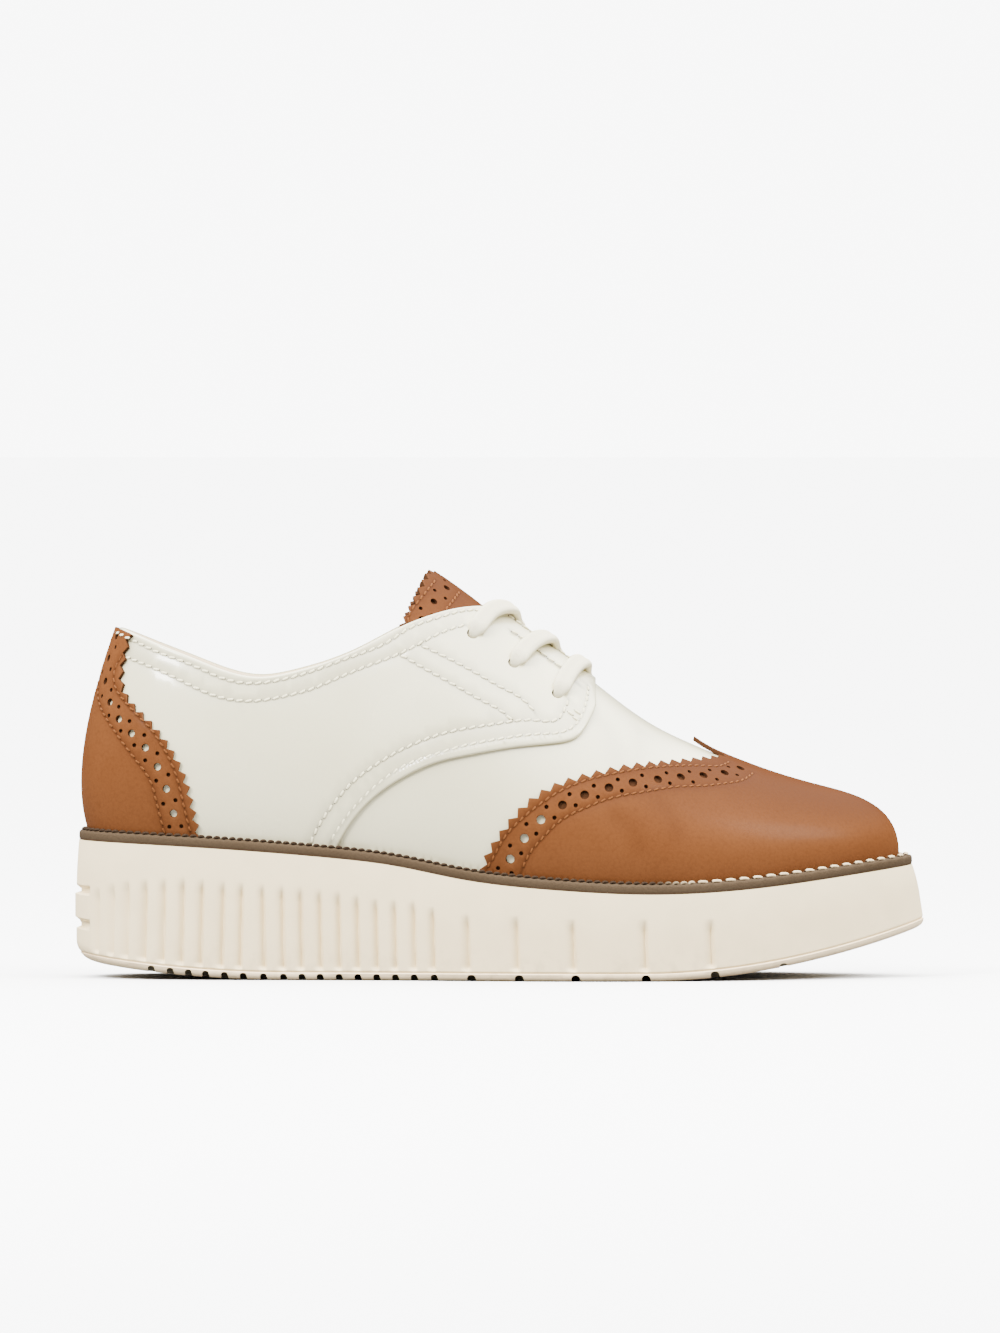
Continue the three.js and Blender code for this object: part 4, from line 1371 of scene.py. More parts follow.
@dataclass(frozen=True)
class Leather:
    """A leather finish."""

    colour: Colour
    shade: Colour
    light: Colour
    roughness: tuple[float, float]
    grain_scale: float
    grain_depth: float
    coat: float = 0.0
    coat_roughness: float = 0.2
    specular: float = 0.5
    mottle: float = 0.3
    # How far faces that look up are darkened towards the shade colour: painted shade.
    crown: float = 0.0
    seam_shade: float = 0.8

    def make(self, name: str, effects: Effects) -> bpy.types.Material:
        """Builds the material.

        Args:
            name: its name.
            effects: the shared node groups.

        Returns:
            The material.
        """
        graph, shader = new_material(name)
        grain = graph.use(effects.grain, scale=self.grain_scale, pores=0.35)
        drift = graph.use(effects.drift, scale=1.0)
        base = graph.tint(drift.outputs["Cloud"], self.colour, self.light)
        base = graph.tint(graph.spread(grain.outputs["Tone"], 0.0, 0.8, self.mottle, 0.0), base, self.shade)
        # Painted shade: the leather is darkened towards its shade colour along sewn rows and creases, on hole
        # rims and under the quarters' edges.
        painted_shade = graph.add("ShaderNodeAttribute", attribute_name="painted_shade").outputs["Fac"]
        base = graph.tint(graph.product(painted_shade, self.seam_shade), base, self.shade)
        # Painted shade: the faces that look up are darkened towards the shade colour.
        if self.crown:
            facing = graph.add("ShaderNodeNewGeometry").outputs["Normal"]
            upward = graph.part(facing, "Z")
            base = graph.tint(graph.spread(upward, 0.3, 0.9, 0.0, self.crown), base, self.shade)
        graph.feed(shader.inputs["Base Color"], base)
        rough = graph.spread(drift.outputs["Cloud"], 0.0, 1.0, *self.roughness)
        rough = graph.math("MULTIPLY_ADD", drift.outputs["Scuff"], 0.14, rough)
        graph.feed(shader.inputs["Roughness"], rough)
        graph.feed(shader.inputs["Normal"], graph.bump(grain.outputs["Height"], 0.6, self.grain_depth))
        shader.inputs["Coat Weight"].default_value = self.coat
        shader.inputs["Coat Roughness"].default_value = self.coat_roughness
        shader.inputs["Specular IOR Level"].default_value = self.specular
        return graph.owner


@dataclass(frozen=True)
class Rubber:
    """A moulded rubber or foam finish."""

    colour: Colour
    shade: Colour
    low_darkening: Colour
    roughness: tuple[float, float]
    depth: float
    scale: float = 1.0

    def make(self, name: str, effects: Effects) -> bpy.types.Material:
        """Builds the material.

        Args:
            name: its name.
            effects: the shared node groups.

        Returns:
            The material.
        """
        graph, shader = new_material(name)
        moulded = graph.use(effects.moulded, scale=self.scale)
        base = graph.tint(moulded.outputs["Tone"], self.shade, self.colour)
        # Darker in patches towards the bottom.
        base = graph.tint(graph.product(moulded.outputs["Low_darkening"], 0.5), base, self.low_darkening)
        graph.feed(shader.inputs["Base Color"], base)
        rough = graph.spread(moulded.outputs["Tone"], 0.0, 1.0, *self.roughness)
        graph.feed(shader.inputs["Roughness"], rough)
        graph.feed(shader.inputs["Normal"], graph.bump(moulded.outputs["Height"], 0.5, self.depth))
        shader.inputs["Specular IOR Level"].default_value = 0.3
        return graph.owner


@dataclass(frozen=True)
class Yarn:
    """A thread or lace finish."""

    colour: Colour
    shade: Colour
    pitch: float
    around: float
    mirror: float
    depth: float
    half: float = 1000.0
    # Painted shade at a stitch's ends, where the thread dives into the leather.
    deep: Colour = (0.0, 0.0, 0.0, 1.0)
    forward: Colour | None = None

    def make(self, name: str, effects: Effects) -> bpy.types.Material:
        """Builds the material.

        Args:
            name: its name.
            effects: the shared node groups.

        Returns:
            The material.
        """
        graph, shader = new_material(name)
        sizes = {"pitch": self.pitch, "around": self.around, "mirror": self.mirror, "half": self.half}
        twist = graph.use(effects.twist, **sizes)
        base = graph.tint(twist.outputs["Tone"], self.shade, self.colour)
        if self.forward is not None:
            ahead = graph.part(graph.place(), "X")
            base = graph.tint(graph.spread(ahead, 0.050, 0.072, 0.0, 1.0), base, self.forward)
        # Painted shade towards the stitch's ends.
        base = graph.tint(twist.outputs["Ends"], base, self.deep)
        graph.feed(shader.inputs["Base Color"], base)
        graph.feed(shader.inputs["Roughness"], graph.spread(twist.outputs["Tone"], 0.0, 1.0, 0.85, 0.7))
        graph.feed(shader.inputs["Normal"], graph.bump(twist.outputs["Height"], 0.8, self.depth))
        shader.inputs["Specular IOR Level"].default_value = 0.05
        return graph.owner


@dataclass
class MaterialGraph(Graph):
    """A material's node tree, which knows its material."""

    owner: bpy.types.Material | None = None


def new_material(name: str) -> tuple[MaterialGraph, bpy.types.Node]:
    """Starts a material.

    Args:
        name: its name.

    Returns:
        Its graph and its shader node.
    """
    material = bpy.data.materials.new(name)
    material.use_nodes = True
    shader = next(node for node in material.node_tree.nodes if node.type == "BSDF_PRINCIPLED")
    return MaterialGraph(material.node_tree, material), shader


def shade(red: float, green: float, blue: float) -> Colour:
    """A colour for a shader."""
    return red, green, blue, 1.0


FINISHES: dict[str, Leather | Rubber | Yarn] = {
    "white": Leather(
        shade(0.615, 0.567, 0.374), shade(0.24, 0.22, 0.15), shade(0.655, 0.607, 0.408), (0.2, 0.28), 0.7,
        0.012, coat=0.55, coat_roughness=0.12, mottle=0.04,
    ),
    "lining": Leather(
        shade(0.45, 0.34, 0.2), shade(0.32, 0.24, 0.14), shade(0.5, 0.38, 0.23), (0.6, 0.7), 0.8, 0.12,
    ),
    "sock": Leather(
        shade(0.36, 0.24, 0.13), shade(0.26, 0.17, 0.09), shade(0.4, 0.27, 0.15), (0.55, 0.65), 0.7, 0.14,
    ),
    # The tan's crown darkens its faces that look up: painted shade.
    "tan": Leather(
        shade(0.096, 0.033, 0.0107), shade(0.04, 0.0125, 0.0043), shade(0.11, 0.039, 0.013), (0.42, 0.52),
        0.7, 0.05, coat=0.05, coat_roughness=0.24, specular=0.0, mottle=0.2, crown=0.75,
    ),
    "tan_edge": Leather(
        shade(0.045, 0.018, 0.008), shade(0.025, 0.01, 0.005), shade(0.06, 0.025, 0.01), (0.8, 0.9), 1.2,
        0.15, specular=0.02,
    ),
    "foam": Rubber(
        shade(0.775, 0.63, 0.378), shade(0.735, 0.598, 0.356), shade(0.5, 0.39, 0.23), (0.62, 0.72), 0.1,
    ),
    "tread": Rubber(
        shade(0.82, 0.64, 0.4), shade(0.78, 0.61, 0.38), shade(0.5, 0.38, 0.22), (0.66, 0.78), 0.12, 1.3,
    ),
    # Painted shade: a darker rubber for the inside of the tread's notches.
    "groove": Rubber(
        shade(0.32, 0.28, 0.2), shade(0.27, 0.235, 0.17), shade(0.15, 0.13, 0.09), (0.8, 0.9), 0.1,
    ),
    "welt": Leather(
        shade(0.047, 0.031, 0.018), shade(0.026, 0.017, 0.01), shade(0.056, 0.038, 0.023), (0.75, 0.85),
        1.3, 0.14, specular=0.02,
    ),
    "white_thread": Yarn(
        shade(0.8, 0.74, 0.51), shade(0.55, 0.5, 0.33), 0.6, 1.0, 0.0, 0.06, 1.4,
        shade(0.085, 0.075, 0.052),
    ),
    "tan_thread": Yarn(
        shade(0.13, 0.046, 0.014), shade(0.075, 0.025, 0.008), 0.55, 1.0, 0.0, 0.06, 1.21,
        shade(0.012, 0.005, 0.002),
    ),
    "welt_thread": Yarn(
        shade(0.032, 0.019, 0.011), shade(0.014, 0.008, 0.005), 0.8, 1.0, 0.0, 0.08, 2.2,
        shade(0.02, 0.011, 0.006), shade(0.62, 0.48, 0.29),
    ),
    "lace": Yarn(shade(0.9, 0.83, 0.6), shade(0.58, 0.51, 0.35), 0.75, 0.9, 1.0, 0.22),
}


@dataclass
class Finishes:
    """Makes each finish's material once and gives it to pieces."""

    effects: Effects
    made: dict[str, bpy.types.Material] = field(default_factory=dict)

    def dress(self, piece: bpy.types.Object, *names: str) -> None:
        """Gives a piece its materials, in the order of its faces' places.

        Args:
            piece: the piece.
            names: the finishes.
        """
        for name in names:
            if name not in self.made:
                self.made[name] = FINISHES[name].make(name, self.effects)
            piece.data.materials.append(self.made[name])


# Sewn rows on each side, seen from the side, in the shoe's millimetres.
COLLAR_ROWS: Sequence[Rows] = (
    (
        (19.9, 110.0), (28.1, 106.0), (38.9, 102.0), (48.3, 97.9), (57.6, 96.1), (63.1, 96.5), (76.8, 99.7),
        (90.6, 104.6), (104.0, 110.2), (108.4, 113.2), (117.7, 116.7), (123.9, 118.5), (129.1, 119.2),
        (134.7, 118.7),
    ),
    (
        (17.7, 104.5), (26.4, 101.0), (35.6, 96.8), (45.1, 92.5), (52.6, 90.7), (60.8, 90.6), (70.2, 92.3),
        (76.8, 94.0), (86.0, 97.7), (95.2, 101.4), (107.2, 106.0), (114.7, 109.8), (122.2, 113.2),
        (127.2, 114.5),
    ),
)
CAP_ROW: Rows = (
    (13.6, 112.7), (16.0, 111.7), (18.6, 110.5),
)
FACING_ROWS: Sequence[Rows] = (
    (
        (113.4, 108.2), (120.9, 104.5), (130.3, 99.5), (139.6, 94.2), (147.2, 89.6), (149.7, 86.7),
    ),
    (
        (106.5, 105.4), (114.7, 100.7), (124.1, 95.4), (133.4, 90.1), (139.6, 86.7), (142.8, 83.8),
    ),
    (
        (141.6, 112.3), (145.8, 109.5), (156.0, 101.7), (159.1, 99.5), (162.5, 96.1),
    ),
)
FRONT_ROWS: Sequence[Rows] = (
    (
        (167.1, 94.2), (166.0, 87.3), (163.5, 82.4), (159.6, 80.1), (152.1, 79.5), (139.6, 78.2),
        (127.2, 76.0), (117.7, 73.2), (108.9, 70.0), (101.7, 65.4), (94.8, 59.5), (88.8, 52.6),
        (85.6, 47.9), (84.2, 45.5),
    ),
    (
        (160.9, 90.1), (159.4, 86.7), (157.8, 84.1), (150.9, 83.8), (139.6, 83.2), (130.3, 81.9),
        (120.9, 80.1), (113.5, 77.6), (105.8, 74.1), (98.4, 69.7), (91.6, 64.7), (86.0, 58.7), (81.0, 51.8),
        (78.3, 46.8), (77.4, 44.5),
    ),
)
TACK_ROWS: Sequence[Rows] = (
    (
        (160.6, 86.7), (162.5, 84.7), (164.2, 83.1),
    ),
    (
        (162.2, 87.6), (163.8, 86.0), (165.1, 84.7),
    ),
)
COUNTER_ROWS: Sequence[Rows] = (
    (
        (15.7, 105.3), (13.2, 101.0), (13.7, 94.2), (16.7, 90.3), (20.1, 86.7), (24.5, 82.4), (28.8, 76.5),
        (32.7, 69.0), (35.0, 61.5), (36.6, 54.6), (38.3, 47.7),
    ),
    (
        (7.5, 96.8), (7.8, 90.3), (11.4, 83.4), (16.4, 76.5), (21.3, 70.3), (25.2, 64.7), (27.0, 58.5),
        (28.4, 53.0), (29.8, 47.1),
    ),
)
WING_ROWS: Sequence[Rows] = (
    (
        (134.7, 36.6), (136.7, 39.9), (140.0, 46.1), (144.9, 51.7), (151.1, 56.9), (158.6, 61.8),
        (166.4, 65.1), (174.0, 67.0), (185.7, 69.0), (197.2, 69.7), (206.3, 69.5), (212.1, 69.7),
        (213.9, 70.6),
    ),
    (
        (146.2, 36.6), (148.5, 41.5), (153.0, 46.8), (157.9, 51.7), (166.3, 56.2), (174.0, 59.2),
        (185.7, 61.5), (197.2, 63.1), (206.3, 63.3), (213.9, 64.1), (218.8, 65.1), (221.7, 67.0),
    ),
)
TONGUE_ROWS: Sequence[Rows] = (
    (
        (118.0, 129.8), (116.1, 127.5), (111.8, 122.3), (109.2, 118.4), (108.9, 115.8),
    ),
    (
        (125.9, 125.9), (123.3, 122.6), (121.2, 120.1),
    ),
)

# Punched holes on each side: large ones, and small ones in pairs between them.
COUNTER_LARGE: Rows = (
    (13.7, 111.5), (11.1, 104.3), (10.1, 96.8), (11.7, 90.1), (14.7, 84.7), (18.9, 80.1), (23.5, 75.5),
    (27.5, 69.3), (30.4, 62.1), (32.7, 54.1),
)
COUNTER_SMALL: Rows = (
    (13.4, 107.9), (11.1, 107.9), (11.8, 100.7), (9.0, 99.7), (12.1, 94.0), (9.0, 91.9), (14.7, 88.6),
    (11.4, 85.7), (18.3, 84.0), (15.4, 80.8), (23.2, 79.5), (19.9, 76.2), (27.5, 73.6), (23.5, 71.3),
    (31.1, 66.7), (27.1, 64.7), (33.4, 58.4), (29.4, 57.2), (35.3, 49.9), (31.4, 49.7),
)
WING_LARGE: Rows = (
    (142.2, 39.6), (146.8, 46.4), (152.2, 52.5), (159.2, 57.2), (166.4, 60.5), (174.3, 62.8), (182.1, 64.4),
    (190.3, 65.4), (197.8, 66.1), (205.2, 66.5), (212.2, 67.2), (217.5, 68.5),
)
WING_SMALL: Rows = (
    (138.3, 36.6), (142.2, 44.0), (147.5, 51.0), (154.0, 56.6), (161.5, 60.7), (169.4, 63.4), (177.2, 65.4),
    (185.1, 66.7), (193.1, 67.4), (200.6, 67.7), (207.3, 68.1), (213.5, 69.0), (142.7, 35.0), (145.8, 41.5),
    (150.7, 47.9), (156.6, 53.1), (163.5, 57.1), (170.7, 59.8), (178.5, 61.8), (186.4, 63.1), (194.2, 64.1),
    (201.8, 64.4), (209.6, 65.1), (216.3, 66.4),
)
TONGUE_LARGE: Rows = (
    (121.6, 127.3), (117.4, 122.9), (113.5, 117.1),
)
TONGUE_SMALL: Rows = (
    (117.7, 126.5), (121.2, 123.9), (113.1, 120.7), (116.7, 118.4), (120.9, 129.7),
)

# The sole's flutes: their X, then the heights at which they end, and the notches under them.
FLUTES: Sequence[float] = (
    8.2, 13.2, 18.1, 24.0, 30.1, 36.3, 42.5, 49.4, 55.4, 61.6, 67.9, 73.9, 80.1, 86.2, 92.2, 98.3, 104.3,
    110.5, 116.7, 127.9, 143.9, 162.2, 185.7, 207.3,
)
FLUTE_TOPS: Rows = (
    (8.2, 30.1), (18.0, 32.7), (36.0, 33.4), (70.3, 30.7), (86.7, 29.1), (99.1, 26.8), (111.2, 26.2),
    (117.4, 24.2), (128.5, 21.9), (143.2, 21.6), (161.9, 20.6), (207.6, 20.6),
)
NOTCHES: Sequence[float] = (
    25.8, 32.0, 37.9, 43.5, 49.7, 55.8, 62.4, 68.9, 74.9, 80.8, 87.0, 93.1, 99.2, 105.3, 111.4, 117.9,
    130.0, 145.5, 163.8, 186.6, 209.0, 231.5,
)


@dataclass
class Pattern:
    """Cuts the shapes of the leather pieces from the pattern's lines."""

    last: Last
    pitch: float = 4.75
    depth: float = 2.0
    throat_back: float = 138.1
    throat_half: float = 4.0
    foot_half: float = 1.7
    grain: float = 2.2

    def throat_x(self) -> float:
        """X of the throat's front end."""
        return float(self.last.along_x(QUARTER_EDGE[0][0]))

    def traced(self, chart: Chart, side: Side, flat: Array, out: float = 0.0, reach: float = 0.35) -> Array:
        """Puts a line that is seen from the side on the skin, leaving out what doesn't reach it.

        Args:
            chart: the chart for the places.
            side: the side of the shoe.
            flat: X and Z of the line's points.
            out: distance out from the skin.
            reach: how far a point may miss the skin.

        Returns:
            The places.
        """
        q = self.last.locate(chart, side, flat, out=out)
        missed = np.linalg.norm(self.last.points(chart, q, out)[:, [0, 2]] - flat, axis=1)
        return q[missed < reach]

    def row(self, chart: Chart, side: Side, rows: Rows, out: float = 0.0) -> Array:
        """Places along a sewn row."""
        return self.traced(chart, side, curve_through(rows, 1.5), out)

    def from_above(self, side: Side, flat: Array) -> Array:
        """Places in the ridge chart of points seen from above."""
        return self.last.locate(Chart.RIDGE, side, flat, axes=(0, 1))

    def slot(self, side: Side) -> Array:
        """The throat's edge, from its back end to its front, in the ridge chart.

        Args:
            side: the side of the shoe.

        Returns:
            The places.
        """
        x = np.linspace(self.throat_back, self.throat_x(), 22)
        half = np.interp(x, [self.throat_back, self.throat_x()], [self.throat_half, self.foot_half])
        return self.from_above(side, np.stack([x, self.last.middle(x) + side.value * half], 1))

    def collar(self, side: Side) -> Array:
        """The edge from the heel's back over the collar to the throat's front end, in the ridge chart.

        Args:
            side: the side of the shoe.

        Returns:
            The places.
        """
        turns = np.linspace(0.15, 0.62 * self.last.half_turn, 150)
        up = self.last.topline_up(side.value * turns)
        points = self.last.skin(side.value * turns, up)
        ends = [self.throat_back, self.throat_x()]
        half = np.interp(points[:, 0], ends, [self.throat_half, self.foot_half])
        away = np.abs(points[:, 1] - self.last.middle(points[:, 0])) - half
        stop = int(np.argmax((points[:, 0] > self.throat_back - 25) & ((away < 0.6) | (up > 0.985))))
        back = self.last.fold(Chart.RIDGE, side.value * turns[:stop], up[:stop])
        slot = self.slot(side)
        slot = slot[self.last.points(Chart.RIDGE, slot)[:, 0] > points[stop - 1, 0] + 1.0]
        even = resample(self.last, Chart.RIDGE, np.concatenate([back, slot]), 1.0)
        return soften(even, 3)

    def front(self, side: Side) -> Array:
        """The quarter's front and lower edge, from the throat down to the welt, in the ridge chart.

        Args:
            side: the side of the shoe.

        Returns:
            The places.
        """
        flat = curve_through(self.last.side_points(QUARTER_EDGE), 1.0)
        q = self.traced(Chart.RIDGE, side, flat[8:])
        q = q[np.abs(q[:, 1]) < 0.995]
        return np.concatenate([q, [[2 * q[-1, 0] - q[-2, 0], float(side.value)]]])

    def foot(self, side: Side, start: float, stop: float) -> Array:
        """Places along the welt between two distances round."""
        turns = np.linspace(start, stop, max(2, math.ceil(abs(stop - start) / self.grain)))
        return np.stack([turns, np.full(len(turns), float(side.value))], 1)

    def across_toe(self) -> Array:
        """The line up the middle of the toe, over the ridge and down again."""
        v = np.linspace(-1, 1, 51)
        return np.stack([np.full(len(v), self.last.half_turn), v], 1)[1:-1]

    def quarter(self, side: Side) -> Array:
        """The outline of a quarter, in the ridge chart.

        Args:
            side: the side of the shoe.

        Returns:
            The places.
        """
        collar = self.collar(side)
        front = self.front(side)
        foot = self.foot(side, front[-1, 0], collar[0, 0])[1:]
        seam = np.linspace(foot[-1], collar[0], 40)[1:-1]
        return np.concatenate([collar, soften(front, 1), foot, seam])

    def upper(self) -> Array:
        """The outline of vamp and lining together, in the ridge chart.

        Returns:
            The places.
        """
        parts = []
        for side in Side:
            collar = self.collar(side)
            collar[0, 0] = 0.0
            seam = np.linspace([0.0, float(side.value)], collar[0], 42)[1:-1]
            parts.append((collar, seam, self.foot(side, 0.0, self.last.half_turn)))
        (outer, outer_seam, outer_foot), (inner, inner_seam, inner_foot) = parts
        foot = [outer_foot, self.across_toe(), inner_foot[::-1]]
        return np.concatenate([*foot, inner_seam, inner, outer[::-1], outer_seam[::-1]])

    def brow(self, side: Side) -> Array:
        """The wing's pinked edge, from the welt to its middle point, in the ridge chart.

        Args:
            side: the side of the shoe.

        Returns:
            The places.
        """
        last = self.last
        flat = curve_through(last.side_points(WING_EDGE), 1.0)
        flat[:, 0] -= 1.3 * ease((190 - flat[:, 0]) / 30)
        edge = self.traced(Chart.RIDGE, side, flat)
        edge = edge[np.abs(edge[:, 1]) < 0.995]
        x = np.array([206.5, 209.6, 211.4, 211.9])
        y = np.array([15.5, 10.5, 7.4, 5.6])
        near = self.from_above(side, np.stack([x, last.middle(x) + side.value * y], 1))
        height = last.points(Chart.RIDGE, near)
        edge = edge[last.points(Chart.RIDGE, edge)[:, 0] < height[0, 0] - 2.0]
        line = np.concatenate([edge, near])
        teeth = pinked(last, Chart.RIDGE, line, self.pitch, self.depth, self.turned(side))
        return np.concatenate([[[teeth[0, 0], float(side.value)]], teeth])

    def turned(self, side: Side) -> float:
        """1 where a line that runs forward and up has its piece on the right, seen from outside, or -1."""
        return 1.0 if side is Side.OUTER else -1.0

    def point(self, side: Side) -> Array:
        """The wing's middle point, from beside its root to its tip.

        Args:
            side: the side of the shoe.

        Returns:
            The places.
        """
        x = np.array([211.9, 208.5, 204.5, 201.6])
        y = np.array([5.0, 3.4, 1.5, 0.3])
        line = self.from_above(side, np.stack([x, self.last.middle(x) + side.value * y], 1))
        return pinked(self.last, Chart.RIDGE, line, 3.6, 0.7, self.turned(side))

    def wing(self) -> Array:
        """The outline of the wing tip, in the ridge chart.

        Returns:
            The places.
        """
        outer, inner = self.brow(Side.OUTER), self.brow(Side.INNER)
        half = self.last.half_turn
        outer_foot = self.foot(Side.OUTER, half, outer[0, 0])[1:]
        inner_foot = self.foot(Side.INNER, inner[0, 0], half)[:-1]
        toe = np.concatenate([[[half, 1.0]], self.across_toe()[::-1], [[half, -1.0]]])
        middle = [self.point(Side.OUTER), self.point(Side.INNER)[::-1]]
        return np.concatenate([outer[1:], *middle, inner[:0:-1], inner[:1], inner_foot[1:], toe, outer_foot])

    def counter_edge(self, side: Side) -> Array:
        """The heel counter's pinked edge, from the welt to the topline, in the heel chart.

        Args:
            side: the side of the shoe.

        Returns:
            The places.
        """
        last = self.last
        flat = curve_through(last.side_points(COUNTER_EDGE), 1.0)[::-1]
        q = self.traced(Chart.HEEL, side, flat, out=1.8)
        top = last.topline_up(q[:, 0])
        q = q[(q[:, 1] > 0.012) & (q[:, 1] < top - 0.004)]
        ends = np.array([[q[0, 0], 0.0], [q[-1, 0], last.topline_up(q[-1:, 0])[0]]])
        line = np.concatenate([ends[:1], q, ends[1:]])
        return pinked(last, Chart.HEEL, line, self.pitch * 0.88, self.depth * 0.92, -self.turned(side))

    def counter(self) -> Array:
        """The outline of the heel counter, in the heel chart.

        Returns:
            The places.
        """
        outer, inner = self.counter_edge(Side.OUTER), self.counter_edge(Side.INNER)
        outer[0, 1] = inner[0, 1] = 0.0
        top = np.linspace(outer[-1, 0], inner[-1, 0], 40)[1:-1]
        top = np.stack([top, self.last.topline_up(top)], 1)
        foot = np.linspace(inner[0, 0], outer[0, 0], 60)[1:-1]
        foot = np.stack([foot, np.zeros(len(foot))], 1)
        return np.concatenate([outer, top, inner[::-1], foot])

    def tongue_half(self, side: Side, out: float) -> Array:
        """Half of the tongue's outline, from the middle of its free end to the middle of its front.

        Args:
            side: the side of the shoe.
            out: distance out from the skin.

        Returns:
            The places.
        """
        last = self.last
        flat = curve_through(last.side_points(TONGUE_TOP), 1.0)
        q = self.traced(Chart.RIDGE, side, flat, out=out, reach=1.2)
        tops = np.linspace(0.3, 0.7, 400) * last.half_turn
        end = tops[np.argmin(np.abs(last.loop["top"](tops) - (last.along_x(TONGUE_TOP[0][0]) - 0.6)))]
        q = np.concatenate([[[end, 0.0]], q[np.abs(q[:, 1]) > 0.03]])
        teeth = pinked(last, Chart.RIDGE, q, self.pitch * 0.93, self.depth, -self.turned(side))
        teeth[0] = end, 0.0
        down = curve_through(last.side_points(TONGUE_SIDE), 2.0)
        edge = self.traced(Chart.RIDGE, side, down, out=out, reach=1.2)
        return np.concatenate([teeth, edge])

    def tongue(self, out: float) -> Array:
        """The outline of the tongue, in the ridge chart.

        Args:
            out: distance out from the skin.

        Returns:
            The places.
        """
        outer, inner = self.tongue_half(Side.OUTER, out), self.tongue_half(Side.INNER, out)
        across = np.linspace(outer[-1], inner[-1], 14)[1:-1]
        return np.concatenate([outer, across, inner[:0:-1]])


def soften(q: Array, times: int) -> Array:
    """Rounds a line's corners by evening out its places.

    Args:
        q: the line.
        times: how often.

    Returns:
        The line.
    """
    line = q.copy()
    for _ in range(times):
        line[1:-1] = (line[:-2] + 2 * line[1:-1] + line[2:]) / 4
    return line


